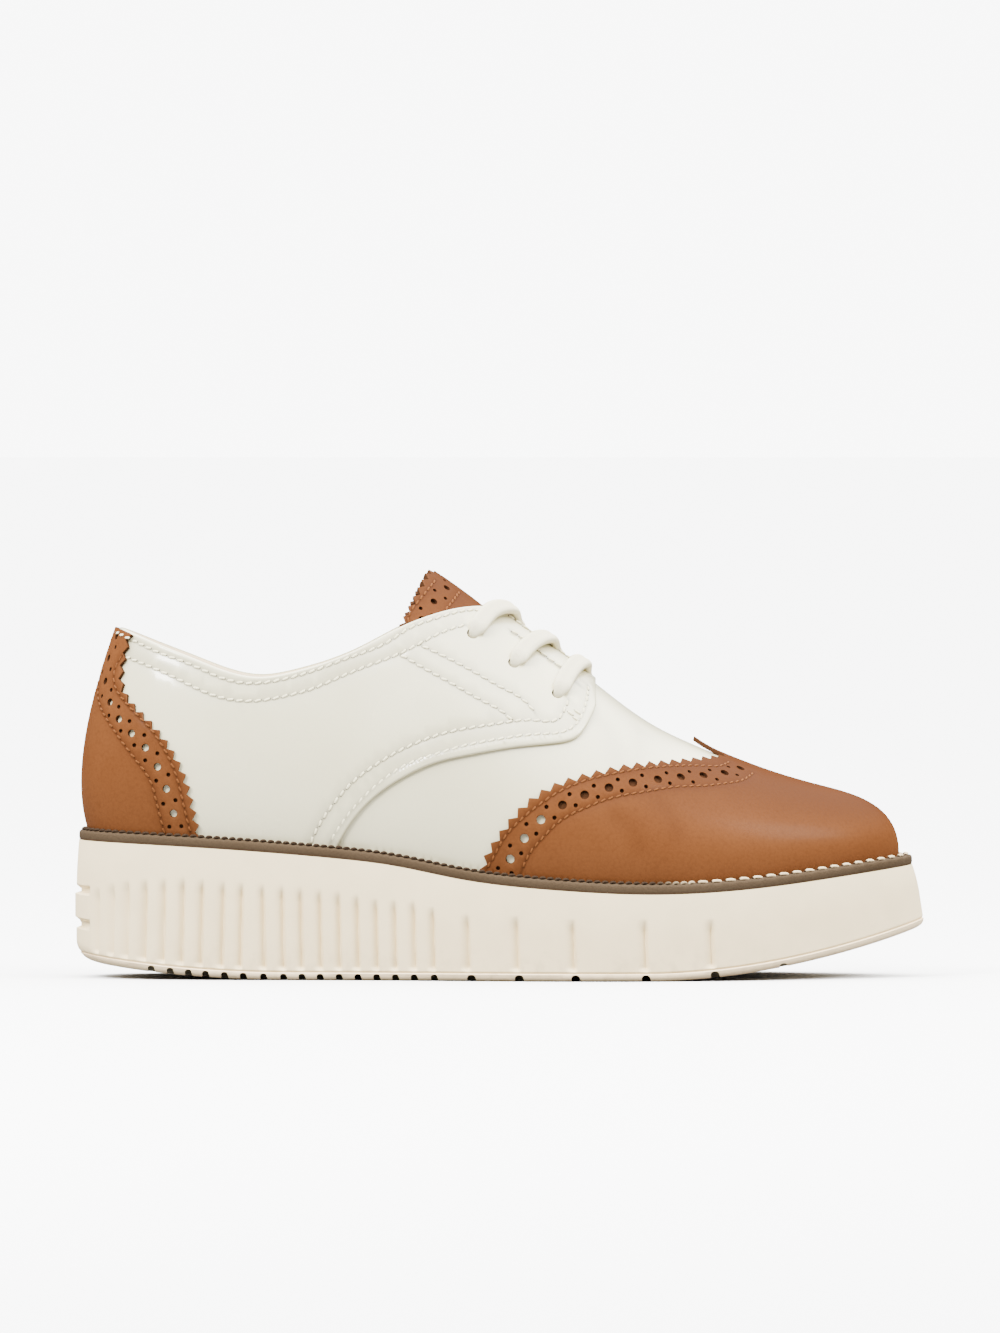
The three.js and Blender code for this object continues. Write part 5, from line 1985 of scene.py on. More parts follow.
@dataclass
class UpperSet:
    """The leather upper: lined vamp, quarters, heel counter, wing tip and tongue, with their sewing."""

    last: Last
    pattern: Pattern
    finishes: Finishes
    wall: float = 1.8
    laid: float = 0.05
    skin: float = 1.5
    overlay: float = 2.9
    tongue_out: float = -2.1
    tongue_base: float = -4.1
    large: float = 1.28
    small: float = 0.78
    eyelet: float = 2.0
    dimple: float = 0.28
    dimple_width: float = 0.8
    wing_dark: float = 156.0
    throat_front: float = 169.2
    throat_row: tuple[float, float] = (140.5, 166.5)
    throat_away: float = 1.9

    def eyelet_places(self) -> list[tuple[Side, Array]]:
        """Places of the lace holes, in the ridge chart.

        Returns:
            The side and the place of each.
        """
        found = []
        for side in Side:
            flat = self.last.side_points([row[:2] for row in EYELETS])
            found.extend((side, q) for q in self.last.locate(Chart.RIDGE, side, flat))
        return found

    def sewn(self, chart: Chart, tables: Sequence[Rows], out: float = 0.0) -> list[Array]:
        """Places of sewn rows on both sides."""
        return [self.pattern.row(chart, side, rows, out) for side in Side for rows in tables]

    def dimples(self, rows: Sequence[Array]) -> list[Groove]:
        """The soft dent that the thread pulls into the leather along rows, with painted shade along it."""
        return [Groove(row, self.dimple, self.dimple_width) for row in rows if len(row) > 2]

    def punches(self, chart: Chart, table: Rows, radius: float, dark_from: float, out: float) -> list[Punch]:
        """Punched holes on both sides.

        Args:
            chart: the chart for their places.
            table: where they are, seen from the side.
            radius: their radius.
            dark_from: the X from which they end in a dark floor, painted shade in the hole.
            out: distance out from the skin of the face in which they are seen.

        Returns:
            The holes.
        """
        flat = np.asarray(table, float)
        made = []
        for side in Side:
            for q in self.pattern.traced(chart, side, flat, out, 0.8):
                if abs(q[1]) > 0.012:
                    x = self.last.points(chart, q[None, :])[0, 0]
                    made.append(Punch(q, radius, bool(x > dark_from)))
        return made

    def creases(self, rows: Sequence[tuple[Rows, float, float]]) -> list[Groove]:
        """Soft creases of wear on both sides, each given as its line, depth and width.

        Args:
            rows: the creases.

        Returns:
            The grooves.
        """
        made = []
        for side in Side:
            for table, depth, width in rows:
                places = self.pattern.traced(Chart.RIDGE, side, curve_through(table, 3.0))
                if len(places) > 2:
                    # The creases get a little painted shade along them.
                    made.append(Groove(places, depth, width, guided=False, shade=0.25))
        return made

    def build_upper(self) -> bpy.types.Object:
        """Makes the lined vamp.

        Returns:
            The piece.
        """
        piece = Hide(
            "vamp_and_lining",
            self.last,
            Chart.RIDGE,
            self.pattern.upper(),
            base=-self.wall,
            face=0.0,
            rounding=0.6,
            step=2.6,
            punches=[Punch(q, self.eyelet, False) for _, q in self.eyelet_places()],
            grooves=self.creases(VAMP_CREASES),
        ).build(seams=(0.0, self.last.half_turn))
        self.finishes.dress(piece, "white", "lining")
        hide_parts("upper")
        return piece

    def build_quarters(self) -> list[bpy.types.Object]:
        """Makes the two quarters, with dents where their rows are sewn.

        Returns:
            The pieces.
        """
        made = []
        chart = Chart.RIDGE
        for side, name in ((Side.OUTER, "quarter_outer"), (Side.INNER, "quarter_inner")):
            tables = [*COLLAR_ROWS, *FACING_ROWS, *FRONT_ROWS]
            rows = [self.pattern.row(chart, side, rows) for rows in tables]
            piece = Hide(
                name + "_leather",
                self.last,
                chart,
                self.pattern.quarter(side),
                base=self.laid,
                face=self.skin,
                rounding=0.8,
                step=2.4,
                punches=[Punch(q, self.eyelet, False) for where, q in self.eyelet_places() if where is side],
                grooves=self.dimples(rows) + self.fold(side),
                rounding_steps=4,
                undercut=0.5,
            ).build()
            self.finishes.dress(piece, "white", "white")
            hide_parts(name)
            made.append(piece)
        return made

    def fold(self, side: Side) -> list[Groove]:
        """The swell of the leather that is folded under along the quarter's front and lower edge.

        Args:
            side: the side of the shoe.

        Returns:
            The groove, in a list.
        """
        line = self.pattern.front(side)[2:-2]
        aside = sideways(self.last, Chart.RIDGE, line)
        inward = 1.15 * self.pattern.turned(side)
        return [Groove(self.last.move(Chart.RIDGE, line, aside * inward), -0.4, 1.0, shade=0.0)]

    def build_counter(self) -> bpy.types.Object:
        """Makes the heel counter with its punched band.

        Returns:
            The piece.
        """
        chart = Chart.HEEL
        out = self.overlay
        piece = Hide(
            "heel_counter_leather",
            self.last,
            chart,
            self.pattern.counter(),
            base=self.skin + self.laid,
            face=self.overlay,
            rounding=0.28,
            step=2.2,
            punches=self.punches(chart, COUNTER_LARGE, self.large, NONE_DARK, out)
            + self.punches(chart, COUNTER_SMALL, self.small, ALL_DARK, out),
            grooves=self.dimples(self.sewn(chart, COUNTER_ROWS, out)),
        ).build()
        self.finishes.dress(piece, "tan", "tan_edge")
        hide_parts("heel_counter")
        return piece

    def build_wing(self) -> bpy.types.Object:
        """Makes the wing tip with its punched band and its lifted middle point.

        Returns:
            The piece.
        """
        last, chart = self.last, Chart.RIDGE
        tip = float(self.pattern.from_above(Side.INNER, np.array([[201.0, last.middle(201.0) + 0.1]]))[0, 0])

        def lift(q: Array) -> Array:
            """How far the middle point stands off the vamp."""
            near = np.clip(1 - (q[:, 0] - tip) / 11.0, 0, 1)
            return 1.3 * near**2 * np.clip(1 - np.abs(q[:, 1]) / 0.22, 0, 1)

        ridge = np.stack([np.linspace(tip + 0.6, tip + 30, 40), np.zeros(40)], 1)
        piece = Hide(
            "wing_tip_leather",
            last,
            chart,
            self.pattern.wing(),
            base=self.laid,
            face=self.skin,
            rounding=0.28,
            step=2.0,
            punches=self.punches(chart, WING_LARGE, self.large + 0.25, self.wing_dark, self.skin)
            + self.punches(chart, WING_SMALL, self.small + 0.02, ALL_DARK, self.skin),
            grooves=self.dimples(self.sewn(chart, WING_ROWS, self.skin))
            + self.creases(TOE_CREASES)
            + [Groove(ridge, 0.0, 1.1, shade=0.0)],
            lift=lift,
        ).build(seams=(last.half_turn,))
        self.finishes.dress(piece, "tan", "tan_edge")
        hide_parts("wing_tip")
        return piece

    def build_tongue(self) -> bpy.types.Object:
        """Makes the tongue with its pinked, punched tab.

        Returns:
            The piece.
        """
        chart, out = Chart.RIDGE, self.tongue_out
        piece = Hide(
            "tongue_leather",
            self.last,
            chart,
            self.pattern.tongue(out),
            base=self.tongue_base,
            face=out,
            rounding=0.28,
            step=2.0,
            punches=self.punches(chart, TONGUE_LARGE, self.large, ALL_DARK, out)
            + self.punches(chart, TONGUE_SMALL, self.small, ALL_DARK, out),
            grooves=self.dimples(self.sewn(chart, TONGUE_ROWS, out)),
            floor=0.6,
        ).build()
        self.finishes.dress(piece, "tan", "tan_edge")
        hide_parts("tongue")
        return piece

    def throat_rows(self) -> list[Array]:
        """The rows sewn close to the throat's edges.

        Returns:
            The places.
        """
        rows = []
        for side in Side:
            x = np.linspace(*self.throat_row, 30)
            ends = [self.pattern.throat_back, self.throat_front]
            half = np.interp(x, ends, [self.pattern.throat_half, self.pattern.foot_half]) + self.throat_away
            flat = np.stack([x, self.last.middle(x) + side.value * half], 1)
            rows.append(self.pattern.from_above(side, flat))
        return rows

    def build_stitches(self) -> list[bpy.types.Object]:
        """Sews all rows with white and tan thread.

        Returns:
            The pieces.
        """
        white = Stitches("stitches_white", self.last, Thread(3.0, 0.93, 0.82, 0.62, 13.0))
        for side in Side:
            white.row(Chart.HEEL, self.pattern.row(Chart.HEEL, side, CAP_ROW, self.overlay), self.overlay)
        for side in Side:
            for rows in [*COLLAR_ROWS, *FACING_ROWS, *FRONT_ROWS]:
                row = self.pattern.row(Chart.RIDGE, side, rows)
                height = self.skin - self.dimple * 0.7 + (0.4 if rows is FACING_ROWS[2] else 0.0)
                white.row(Chart.RIDGE, row, height)
            for rows in TACK_ROWS:
                white.row(Chart.RIDGE, self.pattern.row(Chart.RIDGE, side, rows), self.skin)
        for row in self.throat_rows():
            white.row(Chart.RIDGE, row, self.skin + 0.2)
        tan = Stitches("stitches_tan", self.last, Thread(2.6, 0.93, 0.72, 0.52, 13.0))
        for chart, tables, out in (
            (Chart.HEEL, COUNTER_ROWS, self.overlay),
            (Chart.RIDGE, WING_ROWS, self.skin),
            (Chart.RIDGE, TONGUE_ROWS, self.tongue_out),
        ):
            for row in self.sewn(chart, tables, out):
                tan.row(chart, row, out - self.dimple)
        made = []
        for stitches, finish in ((white, "white_thread"), (tan, "tan_thread")):
            piece = stitches.maker.build(sharp=80)
            self.finishes.dress(piece, finish)
            made.append(piece)
        return made


# Soft creases of wear: a line seen from the side, its depth and its width, in millimetres.
VAMP_CREASES: Sequence[tuple[Rows, float, float]] = (
    (((172.0, 84.0), (176.0, 78.0), (178.0, 70.0)), 0.25, 4.0),
    (((186.0, 80.0), (184.5, 74.0), (181.0, 67.0)), 0.2, 3.5),
)
TOE_CREASES: Sequence[tuple[Rows, float, float]] = (
    (((176.0, 53.0), (181.0, 49.0), (184.0, 43.0)), 0.18, 3.0),
    (((190.0, 58.0), (194.0, 53.0), (196.0, 47.0)), 0.16, 3.2),
)


@dataclass
class Laces:
    """The lace's three crossings, run through the eyelets."""

    last: Last
    finishes: Finishes
    width: float = 6.0
    thickness: float = 2.7
    lift: float = 3.1
    bulge: float = 0.9
    sag: float = 3.6
    back: float = 1.6
    tilt: float = -12.0
    around: int = 36
    step: float = 0.35
    braid: float = 0.09
    braid_pitch: float = 1.5

    def build(self) -> list[bpy.types.Object]:
        """Makes one piece for each crossing.

        Returns:
            The pieces.
        """
        names = ("lace_top", "lace_middle", "lace_bottom")
        made = []
        for index, (name, row) in enumerate(zip(names, EYELETS)):
            maker = MeshMaker(name + "_braid")
            path, out = self.path(row, index)
            self.sweep(maker, path, out, index)
            piece = maker.build(sharp=75)
            self.finishes.dress(piece, "lace")
            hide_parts(name)
            made.append(piece)
        return made

    def path(self, row: Sequence[float], index: int) -> tuple[Array, Array]:
        """The middle line of one crossing.

        Args:
            row: the eyelet's place seen from the side, and the share at which the lace crosses the ridge.
            index: which crossing, from the top; not used.

        Returns:
            Its points, and the outward direction at each.
        """
        last = self.last
        arms = []
        tops = np.linspace(0.3, 0.9, 800) * last.half_turn
        over = tops[np.argmin(np.abs(last.loop["top"](tops) - last.along_x(row[2]) + self.back))]
        for side in Side:
            flat = last.side_points([row[:2]]) + np.array([[0.65, 0.35]])
            turn, up = last.unfold(Chart.RIDGE, last.locate(Chart.RIDGE, side, flat))
            share = np.concatenate([np.linspace(0, 0.15, 8)[:-1], np.linspace(0.15, 1, 24)])
            turns = turn[0] + (side.value * over - turn[0]) * share
            ups = up[0] + (1 - up[0]) * share
            points = last.skin(turns, ups)
            out = last.skin_normal(turns, ups)
            dive = (self.lift - 0.4) * (1 - share / 0.09).clip(0, 1) ** 2
            rise = self.lift + self.bulge * ease(share / 0.6) - dive
            rise = rise - self.sag * ease((share - 0.72) / 0.28)
            arm = points + out * rise[:, None]
            root = arm[:1] + out[:1] * np.array([[-3.4], [-1.6]])
            arms.append((np.concatenate([root, arm]), np.concatenate([out[:1], out[:1], out])))
        (outer, outer_out), (inner, inner_out) = arms
        rough = np.concatenate([outer[:-1], (outer[-1:] + inner[-1:]) / 2, inner[-2::-1]])
        facing = np.concatenate([outer_out[:-1], unit(outer_out[-1:] + inner_out[-1:]), inner_out[-2::-1]])
        at = lengths_along(rough)
        even = np.linspace(0, at[-1], math.ceil(at[-1] / self.step))
        points = np.stack([np.interp(even, at, rough[:, k]) for k in range(3)], 1)
        for _ in range(6):
            points[1:-1] = (points[:-2] + 2 * points[1:-1] + points[2:]) / 4
        out = unit(np.stack([np.interp(even, at, facing[:, k]) for k in range(3)], 1))
        return points, out

    def sweep(self, maker: MeshMaker, path: Array, out: Array, index: int) -> None:
        """Draws the flat braid along its path.

        Args:
            maker: the mesh being made.
            path: the middle line.
            out: the outward direction along it.
            index: which crossing, from the top; not used.
        """
        along = unit(np.gradient(path, axis=0))
        count = len(path)
        across = np.cross(along, out)
        middle = count // 2
        for i in range(middle, count):
            across[i] = self.carried(across[i], across[i - 1], along[i], i - middle)
        for i in range(middle - 1, -1, -1):
            across[i] = self.carried(across[i], across[i + 1], along[i], middle - i)
        up = np.cross(across, along)
        at = lengths_along(path)
        share = at / at[-1]
        near_end = np.minimum(share, 1 - share) * at[-1]
        gather = ease((near_end - 3.2) / 3.4)
        wide = self.width * (0.58 + 0.42 * gather) / 2
        thick = self.thickness * (1.15 - 0.15 * gather) / 2
        lean = np.sign((across * np.array([-1.0, 0.0, 0.6])).sum(1))
        most = 0.6 + 0.4 * np.cos(math.pi * share) ** 2
        tilt = np.radians(self.tilt) * lean * ease((near_end - 2.0) / 6.0) * most
        angle = np.linspace(0, 2 * math.pi, self.around, endpoint=False)
        flat = np.sign(np.cos(angle)) * np.abs(np.cos(angle)) ** 0.68
        high = np.sign(np.sin(angle)) * np.abs(np.sin(angle)) ** 0.62
        strand = at[:, None] / self.braid_pitch
        slope = np.where(np.cos(angle) >= 0, 1.0, -1.0) * flat * 1.3
        rib = np.abs(np.sin(math.pi * (strand + slope[None, :])))
        swell = self.braid * (rib - 0.6) * np.abs(high)[None, :]
        hollow = -0.16 * np.exp(-((flat / 0.3) ** 2)) * gather[:, None]
        x = flat[None, :] * wide[:, None]
        z = high[None, :] * (thick[:, None] + swell + hollow)
        cos, sin = np.cos(tilt)[:, None], np.sin(tilt)[:, None]
        side = x * cos - z * sin
        top = x * sin + z * cos
        grid = path[:, None, :] + side[..., None] * across[:, None, :] + top[..., None] * up[:, None, :]
        uvs = np.stack(np.broadcast_arrays(at[:, None], (flat * self.width / 2)[None, :]), -1)
        maker.close_ends(maker.add_grid(grid, True, uvs=uvs))

    def carried(self, wanted: Array, before: Array, along: Array, steps: int) -> Array:
        """The lace's sideways direction at a point, kept from turning where it dives into its hole.

        Args:
            wanted: the direction that the leather gives.
            before: the direction at the point before.
            along: the lace's direction.
            steps: how many points lie between this one and the middle.

        Returns:
            The direction.
        """
        weight = np.linalg.norm(wanted) ** 2 * 0.25
        mixed = before + unit(wanted) * weight if steps else unit(wanted)
        return unit(mixed - along * float(mixed @ along))


@dataclass
class SoleSet:
    """The fluted platform, its tread, the welt with its stitching, and the sock inside."""

    last: Last
    finishes: Finishes
    welt_thickness: float = 3.4
    welt_rim: float = 2.4
    wall: float = 1.8
    edge_round: float = 2.2
    heel_round: float = 6.5
    toe_round: float = 2.6
    tread: float = 2.6
    flute_depth: float = 1.9
    flute_half: float = 2.7
    panel_width: float = 26.0
    panel_height: float = 8.6
    panel_groove: float = 2.4
    panel_depth: float = 1.6
    panel_share: float = 0.48
    notch_depth: float = 2.2
    notch_length: float = 7.0
    short_stitch: float = 2.5
    long_stitch: float = 4.4
    stitch_change: float = 203.0

    def side(self, turn: Array, height: Array) -> Array:
        """How far out the platform's side stands.

        Args:
            turn: distance round from the heel.
            height: height over the tread's underside.

        Returns:
            The distance out from the last's outline.
        """
        last = self.last
        _, normal = last.outline(turn)
        toe = np.maximum(0, normal[..., 0]) ** 2
        heel = np.maximum(0, -normal[..., 0]) ** 2
        full = self.full(turn)
        least = self.edge_round
        radius = least + (self.heel_round - least) * heel + (self.toe_round - least) * toe
        share = height / full
        flare = last.flare * (1 - np.maximum(0, 2 * share - 1) ** 2) + last.toe_flare * toe * (1 - share)
        curl = np.maximum(0, 1 - height / radius)
        return last.ledge + flare - radius * (1 - np.sqrt(1 - curl**2))

    def full(self, turn: Array) -> Array:
        """The height from the tread's underside to the welt's."""
        x = self.last.outline(turn, self.last.ledge)[0][..., 0]
        return self.last.welt_top(x) - self.welt_thickness - self.last.tread_bottom(x)

    def point(self, turn: Array, height: Array, inset: Array | float = 0.0) -> Array:
        """Points of the platform's side."""
        flat, _ = self.last.outline(turn, self.side(turn, height) - inset)
        return np.concatenate([flat, (self.last.tread_bottom(flat[..., 0]) + height)[..., None]], -1)

    def turns_at(self, side: Side, xs: Sequence[float]) -> Array:
        """Distances round at which the platform's side has given X.

        Args:
            side: the side of the shoe.
            xs: the X of each.

        Returns:
            The distances.
        """
        turns = np.linspace(0, self.last.half_turn, 4000)
        edge = self.last.outline(side.value * turns, self.last.ledge + self.last.flare)[0][:, 0]
        return np.interp(xs, edge, turns)

    def stations(self) -> Array:
        """Distances round at which the platform's side is drawn, the same on both sides.

        Returns:
            The distances.
        """
        marks = [np.linspace(0, self.last.half_turn, 230)]
        across = np.array([-1, -0.75, -0.5, -0.3, -0.15, -0.06, 0, 0.06, 0.15, 0.3, 0.5, 0.75, 1])
        for side in Side:
            for at in self.turns_at(side, FLUTES):
                marks.append(at + self.flute_half * across)
        half = self.panel_width / 2
        marks.append(np.array([half - 0.5, half - 0.25, half, half + 0.25, half + 0.5]))
        every = np.sort(np.clip(np.concatenate(marks), 0, self.last.half_turn))
        kept = [0.0]
        for mark in every:
            if mark - kept[-1] > 0.09 and self.last.half_turn - mark > 0.09:
                kept.append(float(mark))
        return np.array([*kept, self.last.half_turn])

    def flute(self, turn: Array, side: Side, z: Array, height: Array, full: Array) -> Array:
        """How deep the flutes cut in.

        Args:
            turn: distance round from the heel.
            side: the side of the shoe.
            z: height over the floor.
            height: height over the tread's underside.
            full: the platform's height there.

        Returns:
            The depth, for each.
        """
        depth = np.zeros(np.broadcast(turn, z).shape)
        tops = np.asarray(FLUTE_TOPS)
        places = self.turns_at(side, FLUTES)
        for i, (at, x) in enumerate(zip(places, FLUTES)):
            top = np.interp(x, tops[:, 0], tops[:, 1])
            wide = self.flute_half * (1.0 if x < 125 else 1.15)
            lean = -0.9 * (1 - height / full) if x < 60 else 0.9 * (1 - height / full)
            away = (turn - at - lean) / wide
            left = np.clip(1 + away, 0, 1)
            right = np.clip(1 - away * 3.0, 0, 1)
            shape = np.where(away < 0, left**1.6, right**1.15)
            fade = ease((top - z) / 5.0) * ease((height - self.tread - 0.3) / 1.8)
            depth = np.maximum(depth, self.flute_depth * shape * fade * (0.75 if i < 3 else 1.0))
        return depth

    def panel(self, turn: Array, z: Array) -> Array:
        """How far the heel's panel stands out, less the grooves over and under it.

        Args:
            turn: distance round from the heel.
            z: height over the floor.

        Returns:
            The distance out, for each.
        """
        middle = self.panel_share * self.last.heel_rise
        away = np.abs(z - middle)
        across = ease((self.panel_width / 2 + 0.35 - np.abs(turn)) / 0.7)
        half = self.panel_height / 2
        raised = ease((half - away) / 0.5 + 0.5)
        groove = ease((away - half) / 0.5 + 0.5) * ease((half + self.panel_groove - away) / 0.5 + 0.5)
        return across * (raised * self.last.panel_proud - groove * self.panel_depth)

    def build_platform(self) -> bpy.types.Object:
        """Makes the foam platform with its flutes, its heel panel and its closed ends.

        Returns:
            The piece.
        """
        half = self.stations()
        ring = np.concatenate([-half[:0:-1], half[:-1]])
        middle = self.panel_share * self.last.heel_rise
        edges = middle - 4.1 + np.array([-3.2, -2.9, -2.6, -2.3, -0.6, -0.3, 0.0, 0.3])
        marks = np.concatenate([edges, 2 * middle - edges]) / (self.last.heel_rise - self.welt_thickness)
        shares = [np.linspace(0, 1, 40), np.linspace(0, 0.02, 5), np.linspace(0, 0.2, 14), marks]
        shares = np.sort(np.concatenate(shares))
        shares = shares[np.concatenate([[True], np.diff(shares) > 0.002])]
        full = self.full(ring)
        start = (self.tread + 0.02) / full
        levels = []
        for share in shares:
            height = full * (start + (1 - start) * share)
            flat = self.point(ring, height)
            cut = 0.45 * np.maximum(0, 1 - (height - self.tread) / 0.6)
            for side in Side:
                on = np.sign(ring) == side.value
                cut[on] += self.flute(np.abs(ring[on]), side, flat[on, 2], height[on], full[on])
            cut = cut - self.panel(ring, flat[:, 2]) * (np.abs(ring) < self.panel_width)
            levels.append(self.point(ring, height, cut))
        maker = MeshMaker("platform_foam")
        numbers = maker.add_grid(np.stack(levels), True)
        self.cap(maker, numbers[0], half, down=True)
        self.cap(maker, numbers[-1], half, down=False)
        piece = maker.build(merge=0.01, sharp=50)
        self.finishes.dress(piece, "foam")
        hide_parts("platform")
        return piece

    def cap(self, maker: MeshMaker, ring: Array, half: Array, down: bool) -> None:
        """Closes a ring of the sole across, from side to side.

        Args:
            maker: the mesh being made.
            ring: the ring's points.
            half: distances round on one side.
            down: whether the closed face looks down.
        """
        zero = len(half) - 1
        for k in range(zero):
            inner = [ring[(zero + k) % len(ring)], ring[(zero + k + 1) % len(ring)]]
            outer = [ring[zero - k], ring[zero - k - 1]]
            quad = list(dict.fromkeys([inner[0], inner[1], outer[1], outer[0]]))
            if len(quad) > 2:
                maker.add_faces(np.array([quad if down else quad[::-1]]))

    def build_tread(self) -> bpy.types.Object:
        """Makes the tread plate and cuts its cross grooves.

        Returns:
            The piece.
        """
        half = np.linspace(0, self.last.half_turn, 330)
        ring = np.concatenate([-half[:0:-1], half[:-1]])
        maker = MeshMaker("tread_plate")
        heights = self.tread * np.array([0.0, 0.03, 0.09, 0.18, 0.32, 0.5, 0.86, 0.94, 1.0])
        insets = np.array([1.3, 0.85, 0.45, 0.2, 0.05, 0.0, 0.0, 0.1, 0.35]) - 0.15
        rows = [self.point(ring, np.full(len(ring), h), i) for h, i in zip(heights, insets)]
        numbers = maker.add_grid(np.stack(rows), True)
        self.cap(maker, numbers[0], half, down=True)
        self.cap(maker, numbers[-1], half, down=False)
        piece = maker.build(merge=0.01)
        # The notches' insides take the darker groove rubber: painted shade.
        self.finishes.dress(piece, "tread", "groove")
        cutter = self.notch_cutter()
        cut = piece.modifiers.new("grooves", "BOOLEAN")
        cut.operation = "DIFFERENCE"
        cut.solver = "EXACT"
        cut.object = cutter
        depsgraph = bpy.context.evaluated_depsgraph_get()
        mesh = bpy.data.meshes.new_from_object(piece.evaluated_get(depsgraph))
        piece.modifiers.clear()
        piece.data = mesh
        mesh.shade_smooth()
        mesh.set_sharp_from_angle(angle=math.radians(38))
        bpy.data.objects.remove(cutter)
        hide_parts("outsole")
        return piece

    def notch_cutter(self) -> bpy.types.Object:
        """Makes the round-topped bars that cut the tread's grooves.

        Returns:
            The cutter, which is hidden.
        """
        maker = MeshMaker("notches")
        for x in NOTCHES:
            wide = 1.1 if x < 118 else 1.4
            depth = self.notch_depth if x < 225 else 1.2
            z = float(self.last.tread_bottom(x))
            angle = np.linspace(0, math.pi, 9)
            rise = z + depth - wide * 0.8 + wide * 0.8 * np.sin(angle)
            arch = np.stack([x + wide * np.cos(angle) - 0.35, rise], 1)
            foot = np.array([[x - wide + 0.3, z - 3.0], [x + wide + 0.9, z - 3.0]])
            outline = np.concatenate([arch, foot])
            for side in Side:
                turn = side.value * self.turns_at(side, [x])
                edge = float(self.last.outline(turn, self.last.ledge)[0][0, 1])
                reach = sorted((edge - side.value * self.notch_length, side.value * 70.0), reverse=True)
                ends = [np.insert(outline, 1, y, axis=1) for y in reach]
                maker.close_ends(maker.add_grid(np.stack(ends), True))
        made = maker.build()
        # The cutter's faces carry the darker groove rubber into the notches: painted shade.
        self.finishes.dress(made, "tread", "groove")
        made.data.polygons.foreach_set("material_index", [1] * len(made.data.polygons))
        made.hide_render = True
        return made

    def build_welt(self) -> bpy.types.Object:
        """Makes the welt, its top edge nicked by the stitching.

        Returns:
            The piece.
        """
        turns = np.linspace(-self.last.half_turn, self.last.half_turn, 900, endpoint=False)
        ledge, low = self.last.ledge, self.welt_thickness
        inner = -self.wall - self.welt_rim
        section = [(inner, 0.02), (inner + 0.4, 0.0), (-0.5, 0.0), (2.0, 0.0), (3.2, 0.0), (4.2, -0.03)]
        section += [(4.9, -0.12), (5.35, -0.34), (5.62, -0.66), (5.74, -1.1), (ledge, -1.7), (ledge, -2.4)]
        section += [(5.72, -2.9), (5.5, -low + 0.02), (4.8, -low + 0.02), (inner, -low + 0.02)]
        marks = self.stitch_marks()
        wave = 0.5 - 0.5 * np.cos(2 * math.pi * np.interp(np.abs(turns), marks, np.arange(len(marks))))
        rows = []
        for out, drop in section:
            near_edge = math.exp(-(((out - 4.9) / 0.8) ** 2)) if drop > -1.2 else 0.0
            flat, _ = self.last.outline(turns, out - 0.12 * near_edge * wave)
            z = self.last.welt_top(flat[:, 0]) + drop - 0.28 * near_edge * wave
            rows.append(np.concatenate([flat, z[:, None]], 1))
        rows.append(rows[0])
        maker = MeshMaker("welt_strip")
        maker.add_grid(np.stack(rows)[::-1], True)
        piece = maker.build(merge=0.002)
        self.finishes.dress(piece, "welt")
        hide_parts("welt")
        return piece

    def stitch_marks(self) -> Array:
        """The ends of the welt's stitches on one side: short from the heel, longer round the toe.

        Returns:
            Distances round from the heel.
        """
        change = float(self.turns_at(Side.OUTER, [self.stitch_change])[0])
        short = np.linspace(0, change, round(change / self.short_stitch), endpoint=False)
        rest = self.last.half_turn - change
        count = round(rest / self.long_stitch) + 1
        return np.concatenate([short, np.linspace(change, self.last.half_turn, count)])

    def build_welt_stitches(self) -> bpy.types.Object:
        """Sews the welt along its edge.

        Returns:
            The piece.
        """
        marks = self.stitch_marks()
        steps = np.diff(marks)
        makers = []
        for pitch, fits in ((self.short_stitch, steps < 3.4), (self.long_stitch, steps >= 3.4)):
            slant, width = (24.0, 1.35) if pitch < 3.4 else (5.0, 1.25)
            thread = Thread(pitch, 1.05 if pitch < 3.4 else 0.98, width, 1.0, slant)
            stitches = Stitches("welt_stitches", self.last, thread, rings=9)
            makers.append(stitches)
            for side in Side:
                self.sew(stitches, side.value * marks[:-1][fits], side.value * marks[1:][fits])
        makers[0].maker.take(makers[1].maker)
        piece = makers[0].maker.build(sharp=80)
        self.finishes.dress(piece, "welt_thread")
        return piece

    def sew(self, stitches: Stitches, start: Array, end: Array) -> None:
        """Sews stitches on the welt.

        Args:
            stitches: the row.
            start: where each begins, round from the heel.
            end: where each ends.
        """
        places = []
        for share in (0.0, 0.5, 1.0):
            flat, _ = self.last.outline(start + (end - start) * share, self.last.ledge - 1.75)
            places.append(np.concatenate([flat, self.last.welt_top(flat[:, 0])[:, None] + 0.1], 1))
        up = np.repeat([[0.0, 0.0, 1.0]], len(start), axis=0)
        stitches.place(places[1], places[2] - places[0], up)

